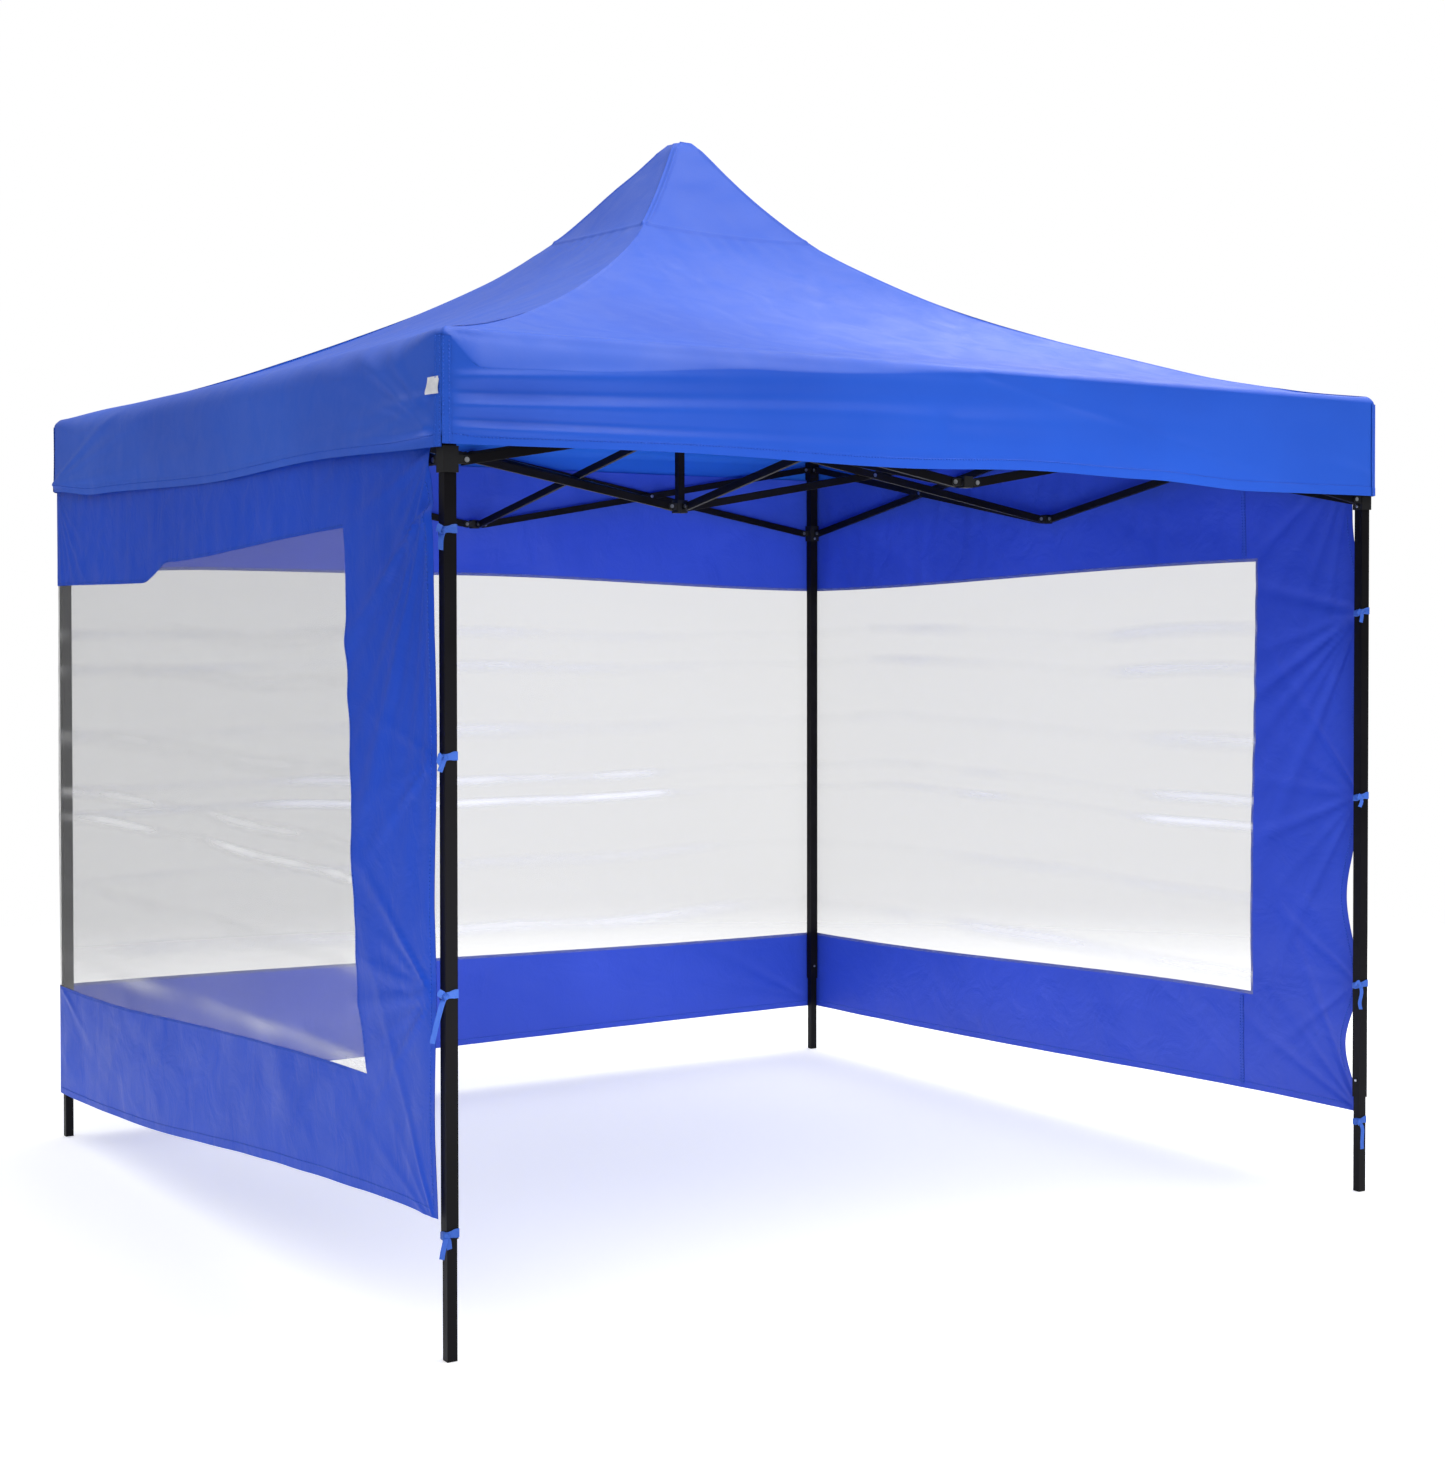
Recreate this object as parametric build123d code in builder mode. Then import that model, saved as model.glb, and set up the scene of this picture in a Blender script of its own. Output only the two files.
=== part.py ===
from build123d import *
import os
from math import atan2, degrees, exp, hypot

os.makedirs("parts", exist_ok=True)

# The canopy stands open on the floor: origin at the centre of its base, +Z up,
# the open side facing -Y. All lengths are in millimetres.

# frame layout
leg_half = 1470.0  # leg centre from the canopy's centre, along X and along Y
truss_low = 2050.0  # height of the lower row of pivots
truss_high = 2300.0  # height of the upper row of pivots
side_pivot = 36.0  # side bar pivot from the middle bracket's centre
corner_pivot = 40.0  # side bar pivot from the leg's centre
hub_pivot = 38.0  # inner bar pivot from the canopy's centre
inner_pivot = 38.0  # inner bar pivot from the middle bracket's centre

# truss bars: hollow, crossing in two layers with a gap between them
bar_height = 24.0
bar_thickness = 12.0
bar_wall = 1.2
bar_overhang = 9.0  # bar beyond its end pivots
bar_edge = 1.0  # chamfer along the bar
layer_gap = 1.0

# pivots
bolt_radius = 3.0
ear_hole_radius = 3.15
bar_hole_radius = 3.4
head_radius = 6.0
head_thickness = 2.0
head_gap = 0.1
ear_thickness = 3.5
ear_gap = 0.4
ear_height = 20.0

# brackets and hubs
bracket_size = 28.0
bracket_height = 30.0
hub_size = 36.0
hub_height = 40.0
hub_guide = 25.0  # square hole that the centre pole slides through
sleeve_size = 38.0  # slider and corner bracket, outside
slider_height = 60.0
slider_clearance = 0.4
corner_drop = 38.0  # corner bracket below its pivots
corner_rise = 32.0
corner_cap = 3.0

# legs
outer_size = 30.0
outer_wall = 1.2
outer_bottom = 280.0
inner_size = 25.0
inner_wall = 1.2
inner_length = 880.0
plug_height = 5.0
plug_insert = 25.0
fit_gap = 0.05  # between separate solids that sit together

# snap buttons
button_radius = 4.0
button_hole_radius = 4.4
flange_radius = 7.0
flange_thickness = 2.0
button_edge = 1.0
slider_button_height = truss_low - 20.0
slider_button_reach = 23.0  # button top from the leg's centre
slider_button_root = 9.0
leg_button_height = outer_bottom + 50.0
leg_button_reach = 19.0
leg_button_root = 6.0

# centre pole
pole_size = 22.0
pole_wall = 1.2
pole_top = 3140.0
cap_radius = 28.0
cap_edge = 3.0
cap_rise = 11.0  # dome above the cap's edge

# fabric
roof_half = 1500.0
eave_height = 2345.0
roof_rise = 876.0
crown_share = 0.02  # half width of the flat crown over that of the roof
valance_hem = 2080.0
roof_thickness = 1.5
wall_plane = 1493.0  # middle of the side wall's cloth
wall_thickness = 1.0
wall_top = 2250.0
wall_hem = 200.0
wall_front = 1458.0  # free edges of the side wall, towards the open side
window_front = 970.0
window_bottom = 470.0
window_top = 1860.0
film_thickness = 0.5
tie_width = 18.0
tie_thickness = 1.0
tie_clearance = 0.5
tie_heights = {"front_left": (1889.0, 1375.0, 835.0, 290.0), "front_right": (1718.0, 1172.0, 615.0, 210.0)}

# each side is the front side turned about Z; corner k is at the far end of side k
sides = {"front": 0.0, "right": 90.0, "back": 180.0, "left": 270.0}
corners = {"front_right": 0.0, "back_right": 90.0, "back_left": 180.0, "front_left": 270.0}
next_corner = dict(zip(sides, corners))
last_corner = dict(zip(sides, ["front_left", "front_right", "back_right", "back_left"]))

outer_layer = layer_gap / 2  # where the bars of each layer start, from the truss plane
inner_layer = -layer_gap / 2 - bar_thickness
fork_width = bar_thickness + 2 * (ear_gap + ear_thickness)


def side_plane(angle):
    """Plane through one side's leg centres: x along the side, y up, normal outward."""
    along = Vector(1, 0, 0).rotate(Axis.Z, angle)
    outward = Vector(0, -1, 0).rotate(Axis.Z, angle)
    return Plane(origin=outward * leg_half, x_dir=along, z_dir=outward)


def inner_plane(angle):
    """Plane from the canopy's centre to one side: x outward, y up."""
    outward = Vector(0, -1, 0).rotate(Axis.Z, angle)
    across = Vector(-1, 0, 0).rotate(Axis.Z, angle)
    return Plane(origin=(0, 0, 0), x_dir=outward, z_dir=across)


def corner_point(angle):
    """Leg centre on the floor, for the corner at the far end of the side at this angle."""
    return Vector(leg_half, -leg_half, 0).rotate(Axis.Z, angle)


def leg_spot(angle):
    """The same point as a pair, for placing sketches on horizontal planes."""
    point = corner_point(angle)
    return (point.X, point.Y)


def ear_starts(layer):
    """Where a fork's two ears start, either side of the bar in that layer."""
    return (layer - ear_gap - ear_thickness, layer + bar_thickness + ear_gap)


def add_fork(plane, centre, length, layer):
    """Two ears beside a bar's layer, rounded around the pivots at their ends."""
    for start in ear_starts(layer):
        with BuildSketch(plane.offset(start)) as ear:
            with Locations(centre):
                SlotCenterToCenter(length, ear_height)
        extrude(ear.sketch, amount=ear_thickness)


def bore_fork(plane, points, layer):
    """Pivot holes through both ears."""
    with BuildSketch(plane.offset(ear_starts(layer)[0])) as holes:
        with Locations(points):
            Circle(ear_hole_radius)
    extrude(holes.sketch, amount=fork_width, mode=Mode.SUBTRACT)


def add_bolts(plane, points, width):
    """Bolts through a stack this wide that starts on the plane, with a head at each end."""
    with BuildSketch(plane.offset(-head_gap)) as shanks:
        with Locations(points):
            Circle(bolt_radius)
    extrude(shanks.sketch, amount=width + 2 * head_gap)
    for face, growth in ((-head_gap, -head_thickness), (width + head_gap, head_thickness)):
        with BuildSketch(plane.offset(face)) as heads:
            with Locations(points):
                Circle(head_radius)
        extrude(heads.sketch, amount=growth)


def bolt_fork(plane, points, layer):
    """Bolts through the ears of a fork."""
    add_bolts(plane.offset(ear_starts(layer)[0]), points, fork_width)


def truss_bar(plane, start, end, bolted, name):
    """Hollow bar between two pivots, with the middle bolt if it carries it."""
    middle = plane.from_local_coords(Vector((start[0] + end[0]) / 2, (start[1] + end[1]) / 2, 0))
    reach = hypot(end[0] - start[0], end[1] - start[1])
    slope = degrees(atan2(end[1] - start[1], end[0] - start[0]))
    turn_axis = Axis((0, 0, 0), plane.z_dir)
    lying = Plane(origin=middle, x_dir=plane.x_dir.rotate(turn_axis, slope), z_dir=plane.z_dir)
    length = reach + 2 * bar_overhang
    with BuildPart() as bar:
        with BuildSketch(lying):
            Rectangle(length, bar_height)
        extrude(amount=bar_thickness)
        chamfer(bar.edges().group_by(SortBy.LENGTH)[-1], bar_edge)
        with BuildSketch(lying.offset(bar_wall)):
            Rectangle(length + 2, bar_height - 2 * bar_wall)
        extrude(amount=bar_thickness - 2 * bar_wall, mode=Mode.SUBTRACT)
        with BuildSketch(lying):
            with Locations((-reach / 2, 0), (0, 0), (reach / 2, 0)):
                Circle(bar_hole_radius)
        extrude(amount=bar_thickness, mode=Mode.SUBTRACT)
        if bolted:
            add_bolts(lying.offset(-bar_thickness - layer_gap), [(0, 0)], 2 * bar_thickness + layer_gap)
    bar.part.label = name
    export_step(bar.part, f"parts/{name}.step")


def middle_bracket(angle, height, side_layer, cross_layer, name):
    """Bracket at the middle of a side: two forks along the side and one inward."""
    side = side_plane(angle)
    inner = inner_plane(angle)
    side_points = [(-side_pivot, height), (side_pivot, height)]
    inner_points = [(leg_half - inner_pivot, height)]
    with BuildPart() as bracket:
        with BuildSketch(side):
            with Locations((0, height)):
                Rectangle(bracket_size, bracket_height)
        extrude(amount=bracket_size / 2, both=True)
        add_fork(side, (0, height), 2 * side_pivot, side_layer)
        add_fork(inner, (leg_half - inner_pivot / 2, height), inner_pivot, cross_layer)
        bore_fork(side, side_points, side_layer)
        bore_fork(inner, inner_points, cross_layer)
        bolt_fork(side, side_points, side_layer)
        bolt_fork(inner, inner_points, cross_layer)
    bracket.part.label = name
    export_step(bracket.part, f"parts/{name}.step")


def centre_hub(height, layer, hole_size, name):
    """Hub with four forks for the inner bars and a square hole for the pole."""
    planes = [inner_plane(angle) for angle in sides.values()]
    pivot = [(hub_pivot, height)]
    with BuildPart() as hub:
        with BuildSketch(Plane.XY.offset(height - hub_height / 2)):
            Rectangle(hub_size, hub_size)
        extrude(amount=hub_height)
        for plane in planes:
            add_fork(plane, (hub_pivot / 2, height), hub_pivot, layer)
        for plane in planes:
            bore_fork(plane, pivot, layer)
        with BuildSketch(Plane.XY.offset(height - hub_height / 2)):
            Rectangle(hole_size, hole_size)
        extrude(amount=hub_height, mode=Mode.SUBTRACT)
        for plane in planes:
            bolt_fork(plane, pivot, layer)
    hub.part.label = name
    export_step(hub.part, f"parts/{name}.step")


def corner_fork_places(angle, height):
    """For both sides that meet at a corner: the side's plane, the fork's centre and its pivot."""
    places = []
    for plane, turn in ((side_plane(angle), 1), (side_plane(angle + 90), -1)):
        centre = (turn * (leg_half - corner_pivot / 2), height)
        places.append((plane, centre, [(turn * (leg_half - corner_pivot), height)]))
    return places


def button_plane(angle):
    """Plane through a leg's centre whose normal is the way its buttons stand out: local y is up."""
    side = side_plane(angle)
    return Plane(origin=corner_point(angle), x_dir=side.z_dir, z_dir=-side.x_dir)


def cut_button_holes(angle, heights):
    """Holes for the snap buttons through one wall of whatever surrounds the leg's centre."""
    with BuildSketch(button_plane(angle)) as holes:
        with Locations([(0, height) for height in heights]):
            Circle(button_hole_radius)
    extrude(holes.sketch, amount=sleeve_size, mode=Mode.SUBTRACT)


def outer_leg(angle, name):
    """Square outer tube with the corner bracket around its top."""
    spot = leg_spot(angle)
    bracket_low = truss_high - corner_drop
    bracket_top = truss_high + corner_rise
    tube_top = bracket_top - corner_cap
    places = corner_fork_places(angle, truss_high)
    with BuildPart() as leg:
        with BuildSketch(Plane.XY.offset(bracket_low)):
            with Locations(spot):
                Rectangle(sleeve_size, sleeve_size)
        extrude(amount=bracket_top - bracket_low)
        for plane, centre, pivot in places:
            add_fork(plane, centre, corner_pivot, inner_layer)
            bore_fork(plane, pivot, inner_layer)
        with BuildSketch(Plane.XY.offset(bracket_low)):
            with Locations(spot):
                Rectangle(outer_size + 2 * fit_gap, outer_size + 2 * fit_gap)
        extrude(amount=tube_top + fit_gap - bracket_low, mode=Mode.SUBTRACT)
        with BuildSketch(Plane.XY.offset(outer_bottom)):
            with Locations(spot):
                Rectangle(outer_size, outer_size)
                Rectangle(outer_size - 2 * outer_wall, outer_size - 2 * outer_wall, mode=Mode.SUBTRACT)
        extrude(amount=tube_top - outer_bottom)
        cut_button_holes(angle, (slider_button_height, leg_button_height))
        for plane, centre, pivot in places:
            bolt_fork(plane, pivot, inner_layer)
    leg.part.label = name
    export_step(leg.part, f"parts/{name}.step")


def slider(angle, name):
    """Sleeve that runs on the outer leg and carries the lower ends of two side bars."""
    spot = leg_spot(angle)
    bore = outer_size + 2 * slider_clearance
    places = corner_fork_places(angle, truss_low)
    with BuildPart() as sleeve:
        with BuildSketch(Plane.XY.offset(truss_low - slider_height / 2)):
            with Locations(spot):
                Rectangle(sleeve_size, sleeve_size)
        extrude(amount=slider_height)
        for plane, centre, pivot in places:
            add_fork(plane, centre, corner_pivot, outer_layer)
            bore_fork(plane, pivot, outer_layer)
        with BuildSketch(Plane.XY.offset(truss_low - slider_height / 2)):
            with Locations(spot):
                Rectangle(bore, bore)
        extrude(amount=slider_height, mode=Mode.SUBTRACT)
        cut_button_holes(angle, (slider_button_height,))
        for plane, centre, pivot in places:
            bolt_fork(plane, pivot, outer_layer)
    sleeve.part.label = name
    export_step(sleeve.part, f"parts/{name}.step")


def inner_leg(angle, name):
    """Square inner tube that stands on the floor, with its foot plug and button hole."""
    spot = leg_spot(angle)
    bore = inner_size - 2 * inner_wall
    with BuildPart() as leg:
        with BuildSketch(Plane.XY.offset(plug_height)):
            with Locations(spot):
                Rectangle(inner_size, inner_size)
                Rectangle(bore, bore, mode=Mode.SUBTRACT)
        extrude(amount=inner_length - plug_height)
        cut_button_holes(angle, (leg_button_height,))
        with BuildSketch(Plane.XY):
            with Locations(spot):
                Rectangle(inner_size, inner_size)
        extrude(amount=plug_height - fit_gap)
        with BuildSketch(Plane.XY.offset(plug_height - fit_gap)):
            with Locations(spot):
                Rectangle(bore - 2 * fit_gap, bore - 2 * fit_gap)
        extrude(amount=plug_insert)
    leg.part.label = name
    export_step(leg.part, f"parts/{name}.step")


def snap_button(angle, height, root, reach, name):
    """Round button with the flange that keeps it inside its tube."""
    press_plane = button_plane(angle)
    with BuildPart() as button:
        with BuildSketch(press_plane.offset(root)):
            with Locations((0, height)):
                Circle(flange_radius)
        extrude(amount=flange_thickness)
        with BuildSketch(press_plane.offset(root + flange_thickness)):
            with Locations((0, height)):
                Circle(button_radius)
        extrude(amount=reach - root - flange_thickness)
        chamfer(button.faces().sort_by(Axis((0, 0, 0), press_plane.z_dir))[-1].edges(), button_edge)
    button.part.label = name
    export_step(button.part, f"parts/{name}.step")


def roof_height(share):
    """Height of the roof where its square section is this share of the full width."""
    return eave_height + roof_rise * (0.66 * (1 - share) ** 1.35 + 0.34 * exp(-share / 0.14))


# hubs at the centre
centre_hub(truss_high, outer_layer, hub_guide, "upper_hub")
centre_hub(truss_low, inner_layer, pole_size + 2 * fit_gap, "lower_hub")

# centre pole, fixed in the lower hub and free in the upper one
with BuildPart() as centre_pole:
    with BuildSketch(Plane.XY.offset(truss_low - hub_height / 2)):
        Rectangle(pole_size, pole_size)
        Rectangle(pole_size - 2 * pole_wall, pole_size - 2 * pole_wall, mode=Mode.SUBTRACT)
    extrude(amount=pole_top - truss_low + hub_height / 2)
centre_pole.part.label = "centre_pole"
export_step(centre_pole.part, "parts/centre_pole.step")

# rounded cap on the pole, which holds up the roof's peak
cap_bottom = pole_top + fit_gap
cap_shoulder = cap_bottom + cap_edge
dome_radius = (cap_radius**2 + cap_rise**2) / (2 * cap_rise)
with BuildPart() as pole_cap:
    with BuildSketch(Plane.XZ):
        with BuildLine():
            rim = (cap_radius, cap_shoulder)
            crown = (0, cap_shoulder + cap_rise)
            Polyline(crown, (0, cap_bottom), (cap_radius, cap_bottom), rim)
            RadiusArc(rim, crown, -dome_radius)
        make_face()
    revolve(axis=Axis.Z)
pole_cap.part.label = "pole_cap"
export_step(pole_cap.part, "parts/pole_cap.step")

# crossed bars from the centre to the middle of each side
for side_name, angle in sides.items():
    plane = inner_plane(angle)
    inner_point = leg_half - inner_pivot
    truss_bar(
        plane.offset(outer_layer),
        (hub_pivot, truss_high),
        (inner_point, truss_low),
        True,
        f"inner_bar_down_{side_name}",
    )
    truss_bar(
        plane.offset(inner_layer),
        (hub_pivot, truss_low),
        (inner_point, truss_high),
        False,
        f"inner_bar_up_{side_name}",
    )
    middle_bracket(angle, truss_high, outer_layer, inner_layer, f"middle_bracket_upper_{side_name}")
    middle_bracket(angle, truss_low, inner_layer, outer_layer, f"middle_bracket_lower_{side_name}")

# crossed bars along each side, from its middle to the two corners
corner_reach = leg_half - corner_pivot
for side_name, angle in sides.items():
    plane = side_plane(angle)
    for turn, corner_name in ((1, next_corner[side_name]), (-1, last_corner[side_name])):
        truss_bar(
            plane.offset(outer_layer),
            (turn * side_pivot, truss_high),
            (turn * corner_reach, truss_low),
            True,
            f"side_bar_down_{side_name}_to_{corner_name}",
        )
        truss_bar(
            plane.offset(inner_layer),
            (turn * side_pivot, truss_low),
            (turn * corner_reach, truss_high),
            False,
            f"side_bar_up_{side_name}_to_{corner_name}",
        )

# legs with their sliders and snap buttons
for corner_name, angle in corners.items():
    outer_leg(angle, f"outer_leg_{corner_name}")
    slider(angle, f"slider_{corner_name}")
    inner_leg(angle, f"inner_leg_{corner_name}")
    snap_button(
        angle,
        slider_button_height,
        slider_button_root,
        slider_button_reach,
        f"slider_button_{corner_name}",
    )
    snap_button(angle, leg_button_height, leg_button_root, leg_button_reach, f"leg_button_{corner_name}")

# roof and valance in one skin: square sections from the eave up to the crown
roof_shares = (1.0, 0.75, 0.5, 0.3, 0.15, 0.07, crown_share)
with BuildPart() as canopy_top:
    for share in roof_shares:
        with BuildSketch(Plane.XY.offset(roof_height(share))):
            Rectangle(2 * roof_half * share, 2 * roof_half * share)
    loft(ruled=True)
    with BuildSketch(Plane.XY.offset(valance_hem)):
        Rectangle(2 * roof_half, 2 * roof_half)
    extrude(amount=roof_height(1.0) - valance_hem)
    under = 1.5 * roof_thickness  # measured straight down, so that steep cloth keeps its thickness
    inside_half = roof_half - roof_thickness
    for share in roof_shares:
        with BuildSketch(Plane.XY.offset(roof_height(share) - under)):
            Rectangle(2 * inside_half * share, 2 * inside_half * share)
    loft(ruled=True, mode=Mode.SUBTRACT)
    with BuildSketch(Plane.XY.offset(valance_hem)):
        Rectangle(2 * inside_half, 2 * inside_half)
    extrude(amount=roof_height(1.0) - under - valance_hem, mode=Mode.SUBTRACT)
canopy_top.part.label = "canopy_top"
export_step(canopy_top.part, "parts/canopy_top.step")

# side wall: one sheet around the left, back and right sides, with a long window in it
wall_outer = wall_plane + wall_thickness / 2
wall_inner = wall_plane - wall_thickness / 2
with BuildPart() as side_wall:
    with BuildSketch(Plane.XY.offset(wall_hem)):
        Rectangle(2 * wall_outer, 2 * wall_outer)
        Rectangle(2 * wall_inner, 2 * wall_inner, mode=Mode.SUBTRACT)
        with Locations((0, -wall_front)):
            Rectangle(2 * roof_half, roof_half, align=(Align.CENTER, Align.MAX), mode=Mode.SUBTRACT)
    extrude(amount=wall_top - wall_hem)
    with BuildSketch(Plane.XY.offset(window_bottom)):
        Rectangle(2 * roof_half, 2 * roof_half)
        with Locations((0, -window_front)):
            Rectangle(2 * roof_half, roof_half, align=(Align.CENTER, Align.MAX), mode=Mode.SUBTRACT)
    extrude(amount=window_top - window_bottom, mode=Mode.SUBTRACT)
side_wall.part.label = "side_wall"
export_step(side_wall.part, "parts/side_wall.step")

# clear film that fills the window
film_outer = wall_plane + film_thickness / 2
film_inner = wall_plane - film_thickness / 2
with BuildPart() as window_film:
    with BuildSketch(Plane.XY.offset(window_bottom)):
        Rectangle(2 * film_outer, 2 * film_outer)
        Rectangle(2 * film_inner, 2 * film_inner, mode=Mode.SUBTRACT)
        with Locations((0, -window_front)):
            Rectangle(2 * roof_half, roof_half, align=(Align.CENTER, Align.MAX), mode=Mode.SUBTRACT)
    extrude(amount=window_top - window_bottom)
window_film.part.label = "window_film"
export_step(window_film.part, "parts/window_film.step")

# ribbon ties that hold the wall's free edges to the front legs
with BuildPart() as wall_ties:
    for corner_name, heights in tie_heights.items():
        for height in heights:
            held_size = outer_size if height > outer_bottom else inner_size
            loop_inner = held_size + 2 * tie_clearance
            loop_outer = loop_inner + 2 * tie_thickness
            with BuildSketch(Plane.XY.offset(height - tie_width / 2)):
                with Locations(leg_spot(corners[corner_name])):
                    Rectangle(loop_outer, loop_outer)
                    Rectangle(loop_inner, loop_inner, mode=Mode.SUBTRACT)
            extrude(amount=tie_width)
wall_ties.part.label = "wall_ties"
export_step(wall_ties.part, "parts/wall_ties.step")
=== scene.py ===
import math

import bpy
import numpy as np
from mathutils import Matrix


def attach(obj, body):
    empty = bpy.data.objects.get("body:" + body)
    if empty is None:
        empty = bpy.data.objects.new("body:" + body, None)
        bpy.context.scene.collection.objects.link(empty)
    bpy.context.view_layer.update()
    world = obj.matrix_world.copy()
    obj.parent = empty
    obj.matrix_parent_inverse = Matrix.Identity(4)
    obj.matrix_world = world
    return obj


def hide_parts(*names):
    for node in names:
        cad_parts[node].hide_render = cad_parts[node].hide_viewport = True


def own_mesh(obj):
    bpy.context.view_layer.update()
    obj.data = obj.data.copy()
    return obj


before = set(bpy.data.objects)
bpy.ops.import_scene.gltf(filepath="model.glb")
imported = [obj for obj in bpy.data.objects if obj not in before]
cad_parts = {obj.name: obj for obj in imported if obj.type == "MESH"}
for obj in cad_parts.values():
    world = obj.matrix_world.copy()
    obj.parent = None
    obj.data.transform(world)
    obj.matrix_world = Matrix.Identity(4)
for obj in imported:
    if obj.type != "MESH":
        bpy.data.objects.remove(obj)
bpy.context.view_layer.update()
print("frame loaded:", len(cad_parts), "parts")

sides = ("front", "right", "back", "left")
corners = ("front_right", "back_right", "back_left", "front_left")  # corner at the far end of each side


# camera, light and floor
shot = {
    "place": (-3.777, -6.439, 1.659),
    "turnRight": 34.28,  # degrees to the right of +Y
    "tiltDown": 1.09,
    "lens": 58.36,
    "shift": (-0.0812, -0.0397),
}


def makeCamera():
    cameraData = bpy.data.cameras.new("camera")
    camera = bpy.data.objects.new("camera", cameraData)
    bpy.context.scene.collection.objects.link(camera)
    camera.location = shot["place"]
    camera.rotation_euler = (math.radians(90 - shot["tiltDown"]), 0, -math.radians(shot["turnRight"]))
    cameraData.lens = shot["lens"]
    cameraData.sensor_width = 36
    cameraData.shift_x, cameraData.shift_y = shot["shift"]
    bpy.context.scene.camera = camera


def toLinear(hexColour):
    # an sRGB hex colour as the linear values that a shader takes
    parts = [int(hexColour[k : k + 2], 16) / 255 for k in (1, 3, 5)]
    return tuple(c / 12.92 if c <= 0.04045 else ((c + 0.055) / 1.055) ** 2.4 for c in parts) + (1.0,)


def addNode(tree, kind, settings=None, links=None):
    # one node with its settings, and links given as input: (node, output), by name or number
    node = tree.nodes.new(kind)
    for name, value in (settings or {}).items():
        if isinstance(name, int) or name in node.inputs:
            node.inputs[name].default_value = value
        else:
            setattr(node, name, value)
    for name, (source, output) in (links or {}).items():
        tree.links.new(source.outputs[output], node.inputs[name])
    return node


studio = {
    "skyColour": "#FFFFFF",
    "skyLight": 1.3,  # overhead light
    "horizonLight": 0.3,  # light from the sides and below
    "skyFrom": 0.28,  # where the bright part of the sky starts and is full, as heights of the direction
    "skyFull": 0.85,
    "lamps": {
        # name: place, aimed at, width, height, watts, spread in degrees
        "overhead": ((2.5, -3.0, 9.0), (0.2, -0.3, 2.0), 7.0, 7.0, 390, 180),
        "behind": ((8.4, 5.4, 9.0), (0.6, -0.8, 2.4), 5.0, 4.0, 125, 180),
        "ground": ((0.1, 0.1, 0.03), (0.1, 0.1, 2.0), 2.3, 2.3, 17, 180),
        "opening": ((-0.6, -3.4, 0.9), (0.7, 1.2, 1.4), 2.6, 1.0, 18, 70),  # narrow enough to leave the valance out
    },
    "floorClear": (3.6, 7.5),  # metres from the middle where the floor starts to fade and is gone
}


def makeStudio():
    world = bpy.data.worlds.new("studio")
    bpy.context.scene.world = world
    world.use_nodes = True
    tree = world.node_tree
    tree.nodes.clear()
    white = toLinear(studio["skyColour"])
    place = addNode(tree, "ShaderNodeTexCoord")
    parts = addNode(tree, "ShaderNodeSeparateXYZ", None, {"Vector": (place, "Generated")})
    strength = addNode(
        tree, "ShaderNodeMapRange",
        {"From Min": studio["skyFrom"], "From Max": studio["skyFull"], "To Min": studio["horizonLight"],
         "To Max": studio["skyLight"], "interpolation_type": "SMOOTHSTEP"},
        {"Value": (parts, "Z")},
    )
    lit = addNode(tree, "ShaderNodeBackground", {"Color": white}, {"Strength": (strength, "Result")})
    seen = addNode(tree, "ShaderNodeBackground", {"Color": white, "Strength": 1.0})
    rays = addNode(tree, "ShaderNodeLightPath")
    mix = addNode(tree, "ShaderNodeMixShader", None, {"Fac": (rays, "Is Camera Ray"), 1: (lit, 0), 2: (seen, 0)})
    addNode(tree, "ShaderNodeOutputWorld", None, {"Surface": (mix, "Shader")})
    for name, (place, aim, width, height, watts, spread) in studio["lamps"].items():
        lampData = bpy.data.lights.new(name, "AREA")
        lampData.shape, lampData.size, lampData.size_y, lampData.energy = "RECTANGLE", width, height, watts
        lampData.spread = math.radians(spread)
        lamp = bpy.data.objects.new(name, lampData)
        bpy.context.scene.collection.objects.link(lamp)
        lamp.location = place
        lamp.visible_camera = False
        away = np.array(place) - np.array(aim)
        flat = math.hypot(away[0], away[1])
        lamp.rotation_euler = (math.atan2(flat, away[2]), 0, math.atan2(away[1], away[0]) + math.pi / 2)


makeCamera()
makeStudio()
bpy.context.scene.view_settings.view_transform = "Standard"
print("camera and studio ready")


# mesh tools
def smoothStep(t):
    t = np.clip(t, 0, 1)
    return t * t * (3 - 2 * t)


def newPiece(name, points, faces, materials, normals=None, faceMaterial=None):
    mesh = bpy.data.meshes.new(name)
    mesh.from_pydata(np.asarray(points, float).tolist(), [], np.asarray(faces).tolist())
    for material in materials:
        mesh.materials.append(material)
    mesh.polygons.foreach_set("use_smooth", np.ones(len(mesh.polygons), bool))
    if faceMaterial is not None:
        mesh.polygons.foreach_set("material_index", np.asarray(faceMaterial, np.int32))
    mesh.update()
    if normals is not None:
        mesh.normals_split_custom_set_from_vertices(np.asarray(normals, float).tolist())
    piece = bpy.data.objects.new(name, mesh)
    bpy.context.scene.collection.objects.link(piece)
    return piece


def gridNormals(points):
    # the cross product of the surface's two directions, from central differences, one unit vector per grid point
    along = np.gradient(points, axis=0)
    across = np.gradient(points, axis=1)
    normal = np.cross(along, across)
    return normal / np.maximum(np.linalg.norm(normal, axis=2, keepdims=True), 1e-12)


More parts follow.
